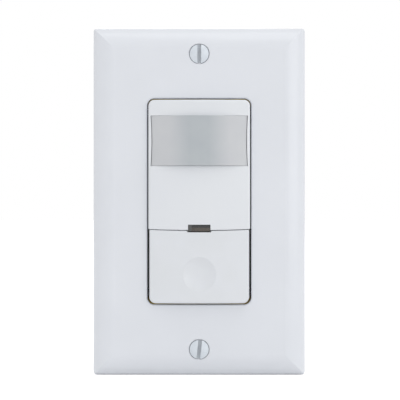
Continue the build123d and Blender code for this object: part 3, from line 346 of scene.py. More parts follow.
inputs = {
    "Geometry": coated.outputs["Geometry"],
    "Selection": bare_and_shade_flag.outputs["Attribute"],
    "Material": given["Bare metal"],
}
metal_and_shade_set = add(screw_tree, "GeometryNodeSetMaterial", inputs)
add(screw_tree, "NodeGroupOutput", {"Result": metal_and_shade_set.outputs["Geometry"]})


def threaded_screws(node, head, places, thread, coat, metal_and_shade):
    """Threaded screws in place of a CAD node's; each place is (point, shank axis, slot axis)."""
    mesh = bpy.data.meshes.new(node)
    mesh.from_pydata([Vector(point) * MM for point, shank, slot in places], [], [])
    aims = mesh.attributes.new("aim", "FLOAT_VECTOR", "POINT")
    for number, (point, shank, slot) in enumerate(places):
        axes = Matrix((slot, Vector(shank).cross(slot), shank)).transposed()
        aims.data[number].vector = axes.to_euler()
    screws = bpy.data.objects.new(node + "_threaded", mesh)
    bpy.context.scene.collection.objects.link(screws)
    sizes = {name: size * MM for name, size in thread.items()}
    run_tree(screws, screw_tree, Head=head, Coat=coat, Bare_metal=metal_and_shade, **sizes)
    bpy.data.objects.remove(head)
    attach(screws, "sensor")
    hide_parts(node)


def side_head(name, outline, slot_depth, slot_width, shank_length, **turning):
    """A screw head with a slot along X, and the core of its shank along Z as its own shell."""
    top = outline[0][1]
    reach = max(point[0] for point in outline)
    head = made(name, turned(outline, **turning))
    slot_low = (-reach, -slot_width / 2, top - CUTTER_OVERSHOOT)
    combine(head, "DIFFERENCE", brick(slot_low, (reach, slot_width / 2, top + slot_depth)))
    core_top = top / 4
    core_outline = [
        (0, core_top),
        (MACHINE_ROOT, core_top),
        (MACHINE_ROOT, shank_length - MACHINE_ROOT / 2),
        (MACHINE_ROOT / 2, shank_length),
        (0, shank_length),
    ]
    core = made("core", turned(core_outline))
    both = bmesh.new()
    both.from_mesh(head.data)
    both.from_mesh(core.data)
    both.to_mesh(head.data)
    both.free()
    bpy.data.objects.remove(core)
    return head


def machine_thread(start, length):
    """A rolled machine thread from a start below the head."""
    return {
        "Root": MACHINE_ROOT,
        "Crest": MACHINE_CREST,
        "Pitch": MACHINE_PITCH,
        "Thread_start": start,
        "Thread_length": length,
    }


def short_thread(shank_length):
    """The thread of a short machine screw, which starts just below its head."""
    return machine_thread(THREAD_RUNOUT, shank_length - THREAD_RUNOUT - MACHINE_ROOT / 2)


def binding_head(name, shank_length):
    """A low round head for a terminal screw, its rim rounded by two facets."""
    facet = SIDE_HEAD_ROUND * 4 / 15
    outline = [
        (0, -SIDE_HEAD_HEIGHT),
        (SIDE_HEAD_RADIUS - SIDE_HEAD_ROUND, -SIDE_HEAD_HEIGHT),
        (SIDE_HEAD_RADIUS - facet, -SIDE_HEAD_HEIGHT + facet),
        (SIDE_HEAD_RADIUS, -SIDE_HEAD_HEIGHT + SIDE_HEAD_ROUND),
        (SIDE_HEAD_RADIUS, -HEAD_CHAMFER),
        (SIDE_HEAD_RADIUS - HEAD_CHAMFER, 0),
        (0, 0),
    ]
    return side_head(name, outline, SIDE_SLOT_DEPTH, SIDE_SLOT_WIDTH, shank_length)


def side_places(node, outwards, head_radius, head_height):
    """Seats of the screws of a node that lie along X, and how long their shanks are."""
    low, high = box_of(node)
    seat_x = low.x + head_height if outwards < 0 else high.x - head_height
    heights = [low.z + head_radius]
    if high.z - heights[0] > 2 * head_radius:
        heights.append(high.z - head_radius)
    middle_y = (low.y + high.y) / 2
    places = [((seat_x, middle_y, z), (-outwards, 0, 0), (0, 0, 1)) for z in heights]
    return places, high.x - low.x - head_height


for node, outwards, coat in (("brass_terminal_screws", -1, brass), ("neutral_screw", 1, nickel)):
    seats, shank_length = side_places(node, outwards, SIDE_HEAD_RADIUS, SIDE_HEAD_HEIGHT)
    head = binding_head(node + "_head", shank_length)
    threaded_screws(node, head, seats, short_thread(shank_length), coat, coat)

# Power board and control board: glass-fibre laminate under green solder mask, which is a
# little paler where it lies over the copper.
board_mask = finish("green_solder_mask", "1E5B38", Roughness=0.3, IOR=1.5)
tint(board_mask, mottle(board_mask, size_mm=1.6, detail=0.0), ("1B5434", "205F3C"), low=0.49, high=0.51)
relief(board_mask, mottle(board_mask, size_mm=0.5), height_mm=0.004)
polish(board_mask, mottle(board_mask, size_mm=3.0), smooth=0.26, rough=0.36)
dress(board_mask, "control_board", "power_board")

# Legs: tinned copper wire and frame on the boards' parts, bent down into their holes. The tin
# is pale and half dull. Each part's section picks its legs by where their faces lie.
FACE_MARGIN = 0.01
tinned_copper = finish("tinned_copper", "C5C5C0", Metallic=1.0, Roughness=0.34)
tint(tinned_copper, mottle(tinned_copper, size_mm=0.5), ("BBBBB6", "CDCDC9"))
relief(tinned_copper, mottle(tinned_copper, size_mm=0.2), height_mm=0.003)


def tin_legs(node, is_leg):
    """Puts the tinned metal on the faces of a CAD node that the rule picks as its legs."""
    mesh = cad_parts[node].data
    mesh.materials.append(tinned_copper)
    for polygon in mesh.polygons:
        if is_leg(polygon.center / MM, polygon.normal):
            polygon.material_index = len(mesh.materials) - 1


def middle_of(node):
    """The middle of a CAD node's box, in millimetres."""
    low, high = box_of(node)
    return (low + high) / 2


# Relay: black nylon base and blue case, a copper winding on a nylon bobbin, iron parts with
# a nickel plate so thin that the iron's rolling lines show, and spring-brass contacts riveted
# to their posts.
nylon = finish("black_nylon", "1B1B1C", Roughness=0.45, IOR=1.53)
tint(nylon, mottle(nylon, size_mm=0.4), ("171718", "202022"))
relief(nylon, mottle(nylon, size_mm=0.25), height_mm=0.006)
polish(nylon, mottle(nylon, size_mm=1.0), smooth=0.4, rough=0.52)
dress(nylon, "relay_base")
case_pbt = finish("blue_moulded_case", "2C5C9C", Roughness=0.35, IOR=1.55)
tint(case_pbt, mottle(case_pbt, size_mm=3.0), ("28548F", "3163A6"))
relief(case_pbt, mottle(case_pbt, size_mm=0.5), height_mm=0.006)
dress(case_pbt, "relay_case")
iron_nickel = finish("nickel_plated_iron", "BDB9B0", Metallic=1.0, Roughness=0.3)
tint(iron_nickel, mottle(iron_nickel, size_mm=1.2, stretch=(1, 0.1, 1)), ("B5B1A8", "C6C2BA"))
relief(iron_nickel, mottle(iron_nickel, size_mm=0.2, stretch=(1, 0.05, 1)), height_mm=0.003)
dress(iron_nickel, "relay_yoke", "relay_armature")
dress(brass, "relay_contacts")

# Relay coil: enamelled copper wire, machine wound in layers on the bobbin. The wire is
# drawn about four times thicker than the real one so that its turns show.
WIRE_RADIUS = 0.17
WIRE_CORNERS = 6
POINTS_PER_WINDING = 32
WINDING_INSET = 0.25
FLANGE = 0.8
BOBBIN_BORE = 1.9
BOBBIN_TUBE = 2.6
copper = finish("enamelled_copper", "A4552B", Metallic=0.6, Roughness=0.3, Coat_Weight=0.6)
tint(copper, mottle(copper, size_mm=0.6), ("8F4822", "B8652F"))
relief(copper, mottle(copper, size_mm=0.3), height_mm=0.004)
coil_low, coil_high = box_of("relay_coil")
coil_middle = middle_of("relay_coil")
coil_height = coil_high.y - coil_low.y
coil_half = (coil_high.x - coil_low.x) / 2
winding_radius = coil_half - 2 * WIRE_RADIUS - WINDING_INSET
winding_inputs = {"Wire": "Float", "Radius": "Float", "Length": "Float", "Metal": "Material"}
winding_tree, given = grow_tree("wound_wire", winding_inputs)
pitch = add(winding_tree, "ShaderNodeMath", {0: given["Wire"], 1: 2.0}, operation="MULTIPLY")
wire = helix(
    winding_tree,
    given["Radius"],
    given["Length"],
    pitch.outputs[0],
    given["Wire"],
    WIRE_CORNERS,
    POINTS_PER_WINDING,
)
real_wire = add(winding_tree, "GeometryNodeRealizeInstances", {"Geometry": wire})
inputs = {"Geometry": real_wire.outputs["Geometry"], "Material": given["Metal"]}
enamelled = add(winding_tree, "GeometryNodeSetMaterial", inputs)
add(winding_tree, "NodeGroupOutput", {"Result": enamelled.outputs["Geometry"]})


def lay_along_depth(obj, middle, low_y):
    """Turns a piece made along Z so that it runs along +Y from low_y, its place in its mesh."""
    turn = Matrix.Rotation(math.radians(-90), 4, "X")
    move = Matrix.Translation(Vector((middle.x, low_y, middle.z)) * MM)
    obj.data.transform(move @ turn)


def rod(radius, low_z, high_z):
    """A rod along Z, in millimetres."""
    return turned([(0, low_z), (radius, low_z), (radius, high_z), (0, high_z)])


bobbin = made("relay_bobbin", rod(BOBBIN_TUBE, FLANGE / 2, coil_height - FLANGE / 2))
for low_z in (0, coil_height - FLANGE):
    flange = brick((-coil_half, -coil_half, low_z), (coil_half, coil_half, low_z + FLANGE))
    combine(bobbin, "UNION", flange)
combine(bobbin, "DIFFERENCE", rod(BOBBIN_BORE, -FLANGE, coil_height + FLANGE))
bobbin.data.materials.append(nylon)
winding = made("relay_winding", bmesh.new())
run_tree(
    winding,
    winding_tree,
    Wire=WIRE_RADIUS * MM,
    Radius=winding_radius * MM,
    Length=(coil_height - 2 * FLANGE - 2 * WIRE_RADIUS) * MM,
    Metal=copper,
)
lay_along_depth(bobbin, coil_middle, coil_low.y)
lay_along_depth(winding, coil_middle, coil_low.y + FLANGE + WIRE_RADIUS)
for piece in (bobbin, winding):
    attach(piece, "sensor")
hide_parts("relay_coil")

# Film capacitor: a wound film in a box of flame-retardant plastic, in the usual yellow with a
# satin gloss, potted with resin. It is soldered to the power board.
box_yellow = finish("yellow_potted_box", "D9B229", Roughness=0.4, IOR=1.54)
tint(box_yellow, mottle(box_yellow, size_mm=2.0), ("D3AB22", "DFB932"))
relief(box_yellow, mottle(box_yellow, size_mm=0.3), height_mm=0.008)
dress(box_yellow, "film_capacitor")

# Filter capacitors: aluminium cans in a dark shrunk sleeve, which creeps into fine rings. They
# stand on the power board.
sleeve = finish("shrunk_sleeve", "2B2D3A", Roughness=0.3, IOR=1.54)
tint(sleeve, mottle(sleeve, size_mm=2.0, stretch=(1, 0.3, 1)), ("262834", "313341"))
relief(sleeve, mottle(sleeve, size_mm=0.8, stretch=(1, 0.2, 1)), height_mm=0.008)
dress(sleeve, "filter_capacitors")

# Varistor: a zinc-oxide disc dipped in blue epoxy, its skin slightly lumpy. Its legs start
# below the disc.
dipped_epoxy = finish("dipped_blue_epoxy", "2D64A8", Roughness=0.28, IOR=1.54)
tint(dipped_epoxy, mottle(dipped_epoxy, size_mm=1.5), ("285B9B", "336EB5"))
relief(dipped_epoxy, mottle(dipped_epoxy, size_mm=1.2), height_mm=0.04)
dress(dipped_epoxy, "varistor")
disc_low, disc_high = box_of("varistor")
disc_end_y = disc_low.y + disc_high.z - disc_low.z
tin_legs("varistor", lambda middle, normal: middle.y > disc_end_y)

# Rectifier diodes: black moulding resin round the chip, dull from the mould, with legs of
# tinned wire bent down into the power board.
DIODE_LENGTH = 5.2
chip_resin = finish("moulding_resin", "222326", Roughness=0.6, IOR=1.55)
tint(chip_resin, mottle(chip_resin, size_mm=0.2), ("1D1E21", "292A2D"))
relief(chip_resin, mottle(chip_resin, size_mm=0.1), height_mm=0.004)
dress(chip_resin, "rectifier_diodes")
diode_x = middle_of("rectifier_diodes").x
diode_end = DIODE_LENGTH / 2 + FACE_MARGIN
tin_legs("rectifier_diodes", lambda middle, normal: abs(middle.x - diode_x) > diode_end)

# Fuse resistor: a ceramic rod with a metal film on it, dipped in pale blue lacquer that dried
# a little uneven. Its legs are tinned wire.
RESISTOR_LENGTH = 8.0
lacquer = finish("pale_blue_lacquer", "8FB4C4", Roughness=0.35, IOR=1.5)
tint(lacquer, mottle(lacquer, size_mm=0.6), ("86ABBC", "98BCCB"))
relief(lacquer, mottle(lacquer, size_mm=0.5), height_mm=0.01)
dress(lacquer, "fuse_resistor")
resistor_z = middle_of("fuse_resistor").z
resistor_end = RESISTOR_LENGTH / 2 + FACE_MARGIN
tin_legs("fuse_resistor", lambda middle, normal: abs(middle.z - resistor_z) > resistor_end)

# Microcontroller: black moulding resin on a tinned frame, its leads bent flat at the foot and
# soldered to the control board.
CHIP_WIDTH = 7.5
dress(chip_resin, "microcontroller")
chip_x = middle_of("microcontroller").x
chip_side = CHIP_WIDTH / 2 + FACE_MARGIN
tin_legs("microcontroller", lambda middle, normal: abs(middle.x - chip_x) > chip_side)

# Pin header: square tinned pins pressed through two strips of black resin, one per board. It
# joins the boards.
PIN_SIZE = 0.64
SIDEWAYS = 0.5
dress(chip_resin, "board_header")
row_z = middle_of("board_header").z
pin_ends = [corner.y for corner in box_of("board_header")]


def is_pin(middle, normal):
    """Whether a face is on a pin: along its sides, or across one of its ends."""
    along = abs(normal.y) < SIDEWAYS
    across = min(abs(middle.y - end) for end in pin_ends) < FACE_MARGIN
    return abs(middle.z - row_z) < PIN_SIZE / 2 + FACE_MARGIN and (along or across)


tin_legs("board_header", is_pin)

# Heat sensor: nickel-plated steel can, brushed by its drawing die, with a coated silicon
# window that looks like dark glass.
dress(iron_nickel, "pir_sensor")
silicon = finish("coated_silicon", "25232A", Roughness=0.08, IOR=2.4)
tint(silicon, mottle(silicon, size_mm=2.0), ("221F28", "2B2830"))
dress(silicon, "pir_window")

# Status lamp and daylight sensor: cast epoxy capsules, red-tinted and water-clear, on the
# control board behind the smoked window.
lamp_epoxy = finish(
    "red_cast_epoxy", "D8443A", Roughness=0.08, IOR=1.54, Transmission_Weight=0.6
)
tint(lamp_epoxy, mottle(lamp_epoxy, size_mm=1.0), ("CC3D34", "E04E43"))
dress(lamp_epoxy, "status_led")
clear_epoxy = finish(
    "clear_cast_epoxy", "D9DDDE", Roughness=0.06, IOR=1.54, Transmission_Weight=0.75
)
tint(clear_epoxy, mottle(clear_epoxy, size_mm=1.0), ("D2D6D8", "E0E4E4"))
dress(clear_epoxy, "daylight_sensor")

# Push switch: nylon body and plunger under a cover bent from tinned steel, on the control
# board behind the button's post.
dress(nylon, "switch_body", "switch_plunger")
tinned_steel = finish("tinned_steel", "C9C9C5", Metallic=1.0, Roughness=0.32)
tint(tinned_steel, mottle(tinned_steel, size_mm=0.8), ("C1C1BC", "D0D0CD"))
relief(tinned_steel, mottle(tinned_steel, size_mm=0.15, stretch=(0.1, 1, 1)), height_mm=0.002)
dress(tinned_steel, "switch_cover")

# Trimmers: blue moulded bodies on the control board, and off-white nylon knobs that the
# fitter turns with a screwdriver.
trimmer_blue = finish("blue_thermoset", "25437E", Roughness=0.4, IOR=1.55)
tint(trimmer_blue, mottle(trimmer_blue, size_mm=0.6), ("203B72", "2B4B8A"))
relief(trimmer_blue, mottle(trimmer_blue, size_mm=0.3), height_mm=0.006)
dress(trimmer_blue, "trimmer_bodies")
knob_nylon = finish("natural_nylon", "DAD8CF", Roughness=0.4, IOR=1.53)
tint(knob_nylon, mottle(knob_nylon, size_mm=0.8), ("D5D3C9", "E0DED6"))
relief(knob_nylon, mottle(knob_nylon, size_mm=0.3), height_mm=0.005)
dress(knob_nylon, "time_knob", "light_knob", "range_knob")

# Lens retainer: black ABS frame and funnel behind the lens, left with the fine grain of a
# spark-eroded mould so that it doesn't glare at the sensor.
retainer_abs = finish("grained_black_abs", "17181A", Roughness=0.55, IOR=1.54)
tint(retainer_abs, mottle(retainer_abs, size_mm=0.3), ("131416", "1C1D20"))
relief(retainer_abs, mottle(retainer_abs, size_mm=0.3), height_mm=0.02)
dress(retainer_abs, "lens_retainer")

# Lens: injection-moulded polyethylene, milky so that heat rays pass and the inside hardly
# shows. Its middle is painted darker, as painted shade of the black funnel behind it, and
# the sides keep the paler colour.
MIDDLE_SHADE_HALF_WIDTH = 3.0
MIDDLE_SHADE_FADE = 10.0
lens_pe = finish("milky_polyethylene", "C3C9CD", Roughness=0.32, IOR=1.52, Transmission_Weight=0.1)
skin = tint(lens_pe, mottle(lens_pe, size_mm=9), ("CED0D4", "D2D4D7"))
# Painted shade: the darker colour for the middle, where the black funnel lies behind.
funnel_shade = tint(lens_pe, mottle(lens_pe, size_mm=7), ("BAC0C5", "BEC4C8"))
on_lens = add(lens_pe.node_tree, "ShaderNodeSeparateXYZ", {"Vector": place_on(lens_pe)})
inputs = {0: on_lens.outputs["X"]}
off_middle = add(lens_pe.node_tree, "ShaderNodeMath", inputs, operation="ABSOLUTE")
# The band round X = 0 takes the painted shade, which fades into the paler sides.
tint(lens_pe, off_middle.outputs[0], (funnel_shade, skin), MIDDLE_SHADE_HALF_WIDTH * MM, MIDDLE_SHADE_FADE * MM)
relief(lens_pe, mottle(lens_pe, size_mm=0.8), height_mm=0.004)
polish(lens_pe, mottle(lens_pe, size_mm=4.0), smooth=0.28, rough=0.36)
dress(lens_pe, "lens")

# Indicator window: smoked polycarbonate that bridges the seam and guides light between the
# face and the lamp and daylight sensor. Its left end is painted paler, as a painted view of
# the lamp behind it, and its upper edge is painted near black as painted shade.
PALE_END_X = -2.5
PALE_END_BLEND = 0.3
TOP_SHADE_Z = -8.3
TOP_SHADE_FADE = 0.4
window_pc = finish(
    "smoked_polycarbonate", "5C5651", Roughness=0.12, IOR=1.585, Transmission_Weight=0.3
)
on_window = add(window_pc.node_tree, "ShaderNodeSeparateXYZ", {"Vector": place_on(window_pc)})
smoke_and_shade = tint(window_pc, mottle(window_pc, size_mm=1.2), ("4B443D", "5E564C"))
top_shade_band = ((TOP_SHADE_Z - TOP_SHADE_FADE) * MM, TOP_SHADE_Z * MM)
# Painted shade: the upper edge of the window turns near black.
smoke_and_shade = tint(window_pc, on_window.outputs["Z"], (smoke_and_shade, "2B2B2D"), *top_shade_band)
pale_end_edges = ((PALE_END_X - PALE_END_BLEND / 2) * MM, (PALE_END_X + PALE_END_BLEND / 2) * MM)
# Painted light: the left end turns paler grey, standing in for the lamp seen through the smoke.
tint(window_pc, on_window.outputs["X"], ("585858", smoke_and_shade), *pale_end_edges)
relief(window_pc, mottle(window_pc, size_mm=0.5), height_mm=0.003)
dress(window_pc, "indicator_window")

# Front cover: the device's face, from the same white ABS as the plate in a slightly cooler
# batch, with the lens window and the seam moulded in. It snaps into the strap's window.
cover_abs = finish("satin_polished_abs", "E3E7EA", Roughness=0.26, IOR=1.54)
tint(cover_abs, mottle(cover_abs, size_mm=14, detail=0.0), ("E1E4E9", "E3E6EA"), low=0.2, high=0.8)
relief(cover_abs, mottle(cover_abs, size_mm=1.8), height_mm=0.005)
polish(cover_abs, mottle(cover_abs, size_mm=9, detail=0.0), smooth=0.255, rough=0.27)
dress(cover_abs, "front_cover")

# Push button: moulded ABS with a thumb dish, on two pins in the cover. Fingers polish it,
# so it is a little glossier than the cover. The relief deepens the dish's shading.
DISH_Z = -23.7
DISH_RADIUS = 5.7
DISH_RELIEF = 0.6
button_abs = finish("moulded_abs_button", "DFE2E6", Roughness=0.22, IOR=1.54)
tint(button_abs, mottle(button_abs, size_mm=12), ("DEE1E5", "E0E3E8"))
relief(button_abs, mottle(button_abs, size_mm=1.6), height_mm=0.005)
polish(button_abs, mottle(button_abs, size_mm=8), smooth=0.2, rough=0.24)
inputs = {0: place_on(button_abs, (1, 0, 1)), 1: (0, 0, DISH_Z * MM)}
off_centre = add(button_abs.node_tree, "ShaderNodeVectorMath", inputs, operation="DISTANCE")
inputs = {"Value": off_centre.outputs["Value"], "From Min": 0.0, "From Max": DISH_RADIUS * MM}
slope = add(button_abs.node_tree, "ShaderNodeMapRange", inputs)
inputs = {0: slope.outputs["Result"], 1: 2.0}
bowl = add(button_abs.node_tree, "ShaderNodeMath", inputs, operation="POWER")
relief(button_abs, bowl.outputs[0], DISH_RELIEF)
dress(button_abs, "push_button")

# Mounting strap: stamped steel, zinc plated and yellow passivated. The coat is thin, so it
# shifts from straw to a dull grey-green, and the sheet's rolling lines show through it. The
# rails beside the window are painted near black as painted shade, so that the gap looks deep.
RAIL_SHADE_END = 31.0
RAIL_SHADE_FADE = 3.0
strap_zinc = finish("yellow_passivated_zinc", "A8914F", Metallic=1.0, Roughness=0.42)
coat = tint(strap_zinc, mottle(strap_zinc, size_mm=7, detail=3.0), ("AD9653", "98895E"))
on_strap = add(strap_zinc.node_tree, "ShaderNodeSeparateXYZ", {"Vector": place_on(strap_zinc)})
inputs = {0: on_strap.outputs["Z"]}
rise = add(strap_zinc.node_tree, "ShaderNodeMath", inputs, operation="ABSOLUTE")
# Painted shade: near black on the rails beside the window, fading to the zinc coat further out.
tint(strap_zinc, rise.outputs[0], ("2E2D2C", coat), RAIL_SHADE_END * MM, (RAIL_SHADE_END + RAIL_SHADE_FADE) * MM)
relief(strap_zinc, mottle(strap_zinc, size_mm=0.25, stretch=(1, 1, 0.05)), height_mm=0.004)
polish(strap_zinc, mottle(strap_zinc, size_mm=3.0), smooth=0.36, rough=0.48)
dress(strap_zinc, "mounting_strap")

# Housing screws: thread-forming steel screws with a pan head and cross recess, bright zinc.
# They come in from the back and pull the housing against the strap. The head's rounded edge
# is given as points of radius and depth below the top.
PAN_RADIUS = 2.5
PAN_HEIGHT = 1.6
PAN_EDGE = ((1.5, 0), (2.0, 0.15), (2.35, 0.5), (PAN_RADIUS, 0.95))
RECESS_REACH = 1.5
RECESS_WIDTH = 0.8
RECESS_DEPTH = 0.8
FORMING_ROOT = 1.05
FORMING_CREST = 1.45
FORMING_PITCH = 1.06
FORMING_START = 1.0
bright_zinc = finish("bright_zinc_plate", "C4C7CA", Metallic=1.0, Roughness=0.28)
tint(bright_zinc, mottle(bright_zinc, size_mm=2.0), ("BDC1C5", "CBCED0"))
relief(bright_zinc, mottle(bright_zinc, size_mm=0.3), height_mm=0.003)
polish(bright_zinc, mottle(bright_zinc, size_mm=1.0), smooth=0.24, rough=0.36)
low, high = box_of("housing_screws")
seat_y = high.y - PAN_HEIGHT
shank_length = seat_y - low.y
tip_length = 2 * FORMING_ROOT
pan_outline = [
    (0, -PAN_HEIGHT),
    *[(radius, -PAN_HEIGHT + depth) for radius, depth in PAN_EDGE],
    (PAN_RADIUS, -HEAD_CHAMFER),
    (PAN_RADIUS - HEAD_CHAMFER, 0),
    (FORMING_ROOT, 0),
    (FORMING_ROOT, shank_length - tip_length),
    (FORMING_ROOT / 3, shank_length),
    (0, shank_length),
]
# Half a segment on, so that no facet's edge meets a corner of the recess.
pan_head = made("pan_head", turned(pan_outline, first_angle=180 / ROUND_SEGMENTS))
floor_z = RECESS_DEPTH - PAN_HEIGHT
arms = ((RECESS_REACH, RECESS_WIDTH / 2), (RECESS_WIDTH / 2, RECESS_REACH))
for reach_x, reach_y in arms:
    arm = brick((-reach_x, -reach_y, -PAN_HEIGHT - CUTTER_OVERSHOOT), (reach_x, reach_y, floor_z))
    combine(pan_head, "DIFFERENCE", arm)
pan_seats = [
    ((x, seat_y, z), (0, -1, 0), (1, 0, 0))
    for x in (low.x + PAN_RADIUS, high.x - PAN_RADIUS)
    for z in (low.z + PAN_RADIUS, high.z - PAN_RADIUS)
]
forming_thread = {
    "Root": FORMING_ROOT,
    "Crest": FORMING_CREST,
    "Pitch": FORMING_PITCH,
    "Thread_start": FORMING_START,
    "Thread_length": shank_length - FORMING_START - tip_length,
}
threaded_screws("housing_screws", pan_head, pan_seats, forming_thread, bright_zinc, bright_zinc)

# Ground screw: hexagonal steel screw with a slot, zinc plated and dyed green, as such
# screws always are. It is threaded into the strap's bent tab.
HEX_RADIUS = 3.9
HEX_HEIGHT = 2.2
HEX_BEVEL_WIDTH = 0.45
HEX_BEVEL_DEPTH = 0.36
HEX_SIDES = 6
ground_zinc = finish("green_dyed_zinc", "2E7D43", Metallic=0.85, Roughness=0.35)
tint(ground_zinc, mottle(ground_zinc, size_mm=1.5), ("2A7540", "378A4C"))
relief(ground_zinc, mottle(ground_zinc, size_mm=0.3), height_mm=0.004)
polish(ground_zinc, mottle(ground_zinc, size_mm=1.0), smooth=0.3, rough=0.42)
hex_half_width = HEX_RADIUS * math.cos(math.pi / HEX_SIDES)
hex_seats, shank_length = side_places("ground_screw", -1, hex_half_width, HEX_HEIGHT)
hex_outline = [
    (0, -HEX_HEIGHT),
    (HEX_RADIUS - HEX_BEVEL_WIDTH, -HEX_HEIGHT),
    (HEX_RADIUS, -HEX_HEIGHT + HEX_BEVEL_DEPTH),
    (HEX_RADIUS, 0),
    (0, 0),
]
hex_head = side_head(
    "hex_head",
    hex_outline,
    slot_depth=HEX_HEIGHT / 2,
    slot_width=HEX_RADIUS / 3,
    shank_length=shank_length,
    segments=HEX_SIDES,
    first_angle=180 / HEX_SIDES,
)
hex_thread = short_thread(shank_length)
threaded_screws("ground_screw", hex_head, hex_seats, hex_thread, ground_zinc, ground_zinc)

# Wall plate: a one-gang cover moulded in one shot of white ABS, screwed to the strap.
# The mould was polished, so the front has soft, clear highlights, over the faint long
# ripple that thick ABS gets as it cools.
plate_abs = finish("polished_moulded_abs", "E1E5E9", Roughness=0.2, IOR=1.54)
tint(plate_abs, mottle(plate_abs, size_mm=18), ("E0E3E9", "E2E5EB"))
relief(plate_abs, mottle(plate_abs, size_mm=2.2), height_mm=0.006)
polish(plate_abs, mottle(plate_abs, size_mm=12), smooth=0.18, rough=0.24)
dress(plate_abs, "wall_plate")

# Plate screws: oval heads, painted over zinc to match the plate; below the head the paint
# ends. The rim and the slot's walls take the darker metal as painted shade of the gaps.
OVAL_RADIUS = 3.33
OVAL_RIM = 0.22
OVAL_DOME = 0.9
OVAL_SLOT_WIDTH = 1.2
OVAL_SLOT_DEPTH = 1.5
OVAL_CONE = 1.82
OVAL_SEGMENTS = 64
DOME_STEPS = 10
PAINT_END = 0.05
PLAIN_SHANK = 0.8
SLOT_DEGREES = (0.0, 6.0)
screw_paint = finish("painted_screw_head", "D9DFE6", Roughness=0.3, IOR=1.5, Coat_Weight=0.3)
tint(screw_paint, mottle(screw_paint, size_mm=2.5), ("D5DCE4", "DBE2E9"))
relief(screw_paint, mottle(screw_paint, size_mm=0.4), height_mm=0.004)
polish(screw_paint, mottle(screw_paint, size_mm=1.5), smooth=0.26, rough=0.36)
# Dark zinc: real below the head, and painted shade on the rim and the slot's walls.
zinc_and_rim_shade = finish("zinc_and_painted_shade", "7F858B", Metallic=0.4, Roughness=0.5)
tint(zinc_and_rim_shade, mottle(zinc_and_rim_shade, size_mm=0.8), ("767C83", "8C9299"))
relief(zinc_and_rim_shade, mottle(zinc_and_rim_shade, size_mm=0.3, stretch=(0.1, 1, 1)), height_mm=0.01)
low, high = box_of("plate_screws")
rim_y = low.y + OVAL_DOME
shank_length = high.y - rim_y
dome_radius = (OVAL_RADIUS**2 + OVAL_DOME**2) / (2 * OVAL_DOME)
rim_radius = OVAL_RADIUS - OVAL_RIM
dome = [
    (radius, dome_radius - OVAL_DOME - math.sqrt(dome_radius**2 - radius**2))
    for radius in (rim_radius * step / DOME_STEPS for step in range(DOME_STEPS + 1))
]
oval_outline = [
    *dome,
    (OVAL_RADIUS - OVAL_RIM / 4, OVAL_RIM / 2),
    (OVAL_RADIUS - OVAL_RIM / 2, OVAL_RIM),
    (MACHINE_ROOT, OVAL_CONE + (MACHINE_CREST - MACHINE_ROOT)),
    (MACHINE_ROOT, shank_length - MACHINE_ROOT),
    (MACHINE_ROOT / 2, shank_length),
    (0, shank_length),
]
oval_head = made("oval_head", turned(oval_outline, OVAL_SEGMENTS))
slot_floor = OVAL_SLOT_DEPTH - OVAL_DOME
slot_half = OVAL_SLOT_WIDTH / 2
slot_low = (-OVAL_RADIUS, -slot_half, -OVAL_DOME - CUTTER_OVERSHOOT)
combine(oval_head, "DIFFERENCE", brick(slot_low, (OVAL_RADIUS, slot_half, slot_floor)))
# Marks the faces below the head, and, as painted shade, the rim and the slot's walls.
bare_and_shade_marks = oval_head.data.attributes.new("bare", "BOOLEAN", "FACE")
for polygon in oval_head.data.polygons:
    middle = polygon.center / MM
    unpainted = middle.z > slot_floor + PAINT_END
    on_shaded_rim = math.hypot(middle.x, middle.y) > rim_radius
    on_shaded_slot_wall = abs(abs(middle.y) - slot_half) < MERGE_DISTANCE
    bare_and_shade_marks.data[polygon.index].value = unpainted or on_shaded_rim or on_shaded_slot_wall
oval_seats = []
for z, degrees in zip((high.z - OVAL_RADIUS, low.z + OVAL_RADIUS), SLOT_DEGREES):
    lean = math.radians(degrees)
    oval_seats.append(((0, rim_y, z), (0, 1, 0), (math.sin(lean), 0, math.cos(lean))))
thread_start = OVAL_CONE + PLAIN_SHANK
plate_thread = machine_thread(thread_start, shank_length - thread_start - MACHINE_ROOT)
threaded_screws("plate_screws", oval_head, oval_seats, plate_thread, screw_paint, zinc_and_rim_shade)

# Table: a pale matt surface that the plate stands on. The camera sees it as white, apart
# from the object's own shadow.
TABLE_SIZE = 6.0
TABLE_GLOW = 0.42


def seen_directly(tree):
    """1 where a camera, glossy or transmission ray arrives, and 0 for the light that falls."""
    path = add(tree, "ShaderNodeLightPath").outputs
    inputs = {0: path["Is Camera Ray"], 1: path["Is Glossy Ray"]}
    seen = add(tree, "ShaderNodeMath", inputs, operation="MAXIMUM")
    inputs = {0: seen.outputs[0], 1: path["Is Transmission Ray"]}
    return add(tree, "ShaderNodeMath", inputs, operation="MAXIMUM").outputs[0]


table_mesh = bpy.data.meshes.new("table")
edge = TABLE_SIZE / 2
foot_z = cad_box[0][2]
corners = [(x, y, foot_z) for x, y in ((-edge, -edge), (edge, -edge), (edge, edge), (-edge, edge))]
table_mesh.from_pydata(corners, [], [(0, 1, 2, 3)])
table = bpy.data.objects.new("table", table_mesh)
bpy.context.scene.collection.objects.link(table)
table_white = finish("matt_white_table", "F0F0F0", Roughness=0.9)
tint(table_white, mottle(table_white, size_mm=300), ("EEEEEE", "F2F2F2"))
table_tree = table_white.node_tree
inputs = {0: seen_directly(table_tree), 1: TABLE_GLOW}
lift = add(table_tree, "ShaderNodeMath", inputs, operation="MULTIPLY")
glow = add(table_tree, "ShaderNodeEmission", {"Strength": lift.outputs[0]})
inputs = {0: table_tree.nodes["Principled BSDF"].outputs[0], 1: glow.outputs[0]}
lit_table = add(table_tree, "ShaderNodeAddShader", inputs)
table_output = table_tree.nodes["Material Output"]
table_tree.links.new(lit_table.outputs[0], table_output.inputs["Surface"])
table_mesh.materials.append(table_white)

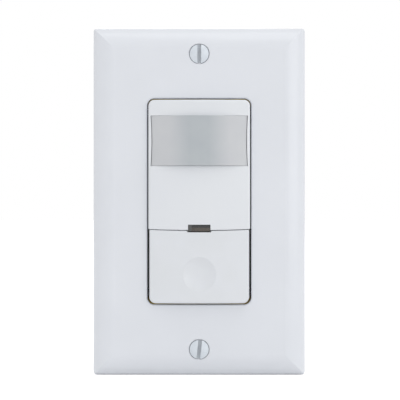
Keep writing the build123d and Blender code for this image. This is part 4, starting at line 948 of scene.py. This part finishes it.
# Light: a white tent all round and large soft boxes, as the photo's shading shows: one in
# front to the right, one that grazes the front from above, and a weak one at the left. One
# behind is for the views of the back.
TENT_LEVEL = 0.77
BOX_SIZE = 0.8
world = bpy.data.worlds.new("white_tent")
bpy.context.scene.world = world
world.use_nodes = True
world_tree = world.node_tree
tent = world_tree.nodes["Background"]
tent.inputs["Color"].default_value = linear("FFFFFF")
tent.inputs["Strength"].default_value = TENT_LEVEL
white = add(world_tree, "ShaderNodeBackground", {"Color": linear("FFFFFF"), "Strength": 1.0})
inputs = {0: seen_directly(world_tree), 1: tent.outputs[0], 2: white.outputs[0]}
choice = add(world_tree, "ShaderNodeMixShader", inputs)
world_output = world_tree.nodes["World Output"]
world_tree.links.new(choice.outputs[0], world_output.inputs["Surface"])


def soft_box(name, place, watts):
    """A square soft box that faces the object."""
    lamp = bpy.data.lights.new(name, "AREA")
    lamp.size = BOX_SIZE
    lamp.energy = watts
    box = bpy.data.objects.new(name, lamp)
    box.location = place
    box.rotation_euler = (-Vector(place)).to_track_quat("-Z", "Y").to_euler()
    bpy.context.scene.collection.objects.link(box)


soft_box("soft_box_right", (0.8, -0.8, 0.2), watts=2.05)
soft_box("soft_box_left", (-1.1, -0.42, 0.1), watts=0.42)
soft_box("soft_box_above", (0.25, -0.45, 1.1), watts=2.35)
soft_box("soft_box_behind", (-0.3, 1.1, 0.6), watts=3.0)

# Camera: square on to the plate, 400 mm from its face, on a long lens. A hair right of the
# middle and above it, as the plate's place in the frame shows.
CAMERA_PLACE = (0.25, -405.6, 0.51)
SENSOR_WIDTH = 36.0
FOCAL_LENGTH = 110.0
camera_data = bpy.data.cameras.new("camera")
camera_data.sensor_width = SENSOR_WIDTH
camera_data.lens = FOCAL_LENGTH
camera = bpy.data.objects.new("camera", camera_data)
camera.location = [size * MM for size in CAMERA_PLACE]
camera.rotation_euler = (math.radians(90), 0, 0)
bpy.context.scene.collection.objects.link(camera)
bpy.context.scene.camera = camera
bpy.context.scene.view_settings.view_transform = "Standard"
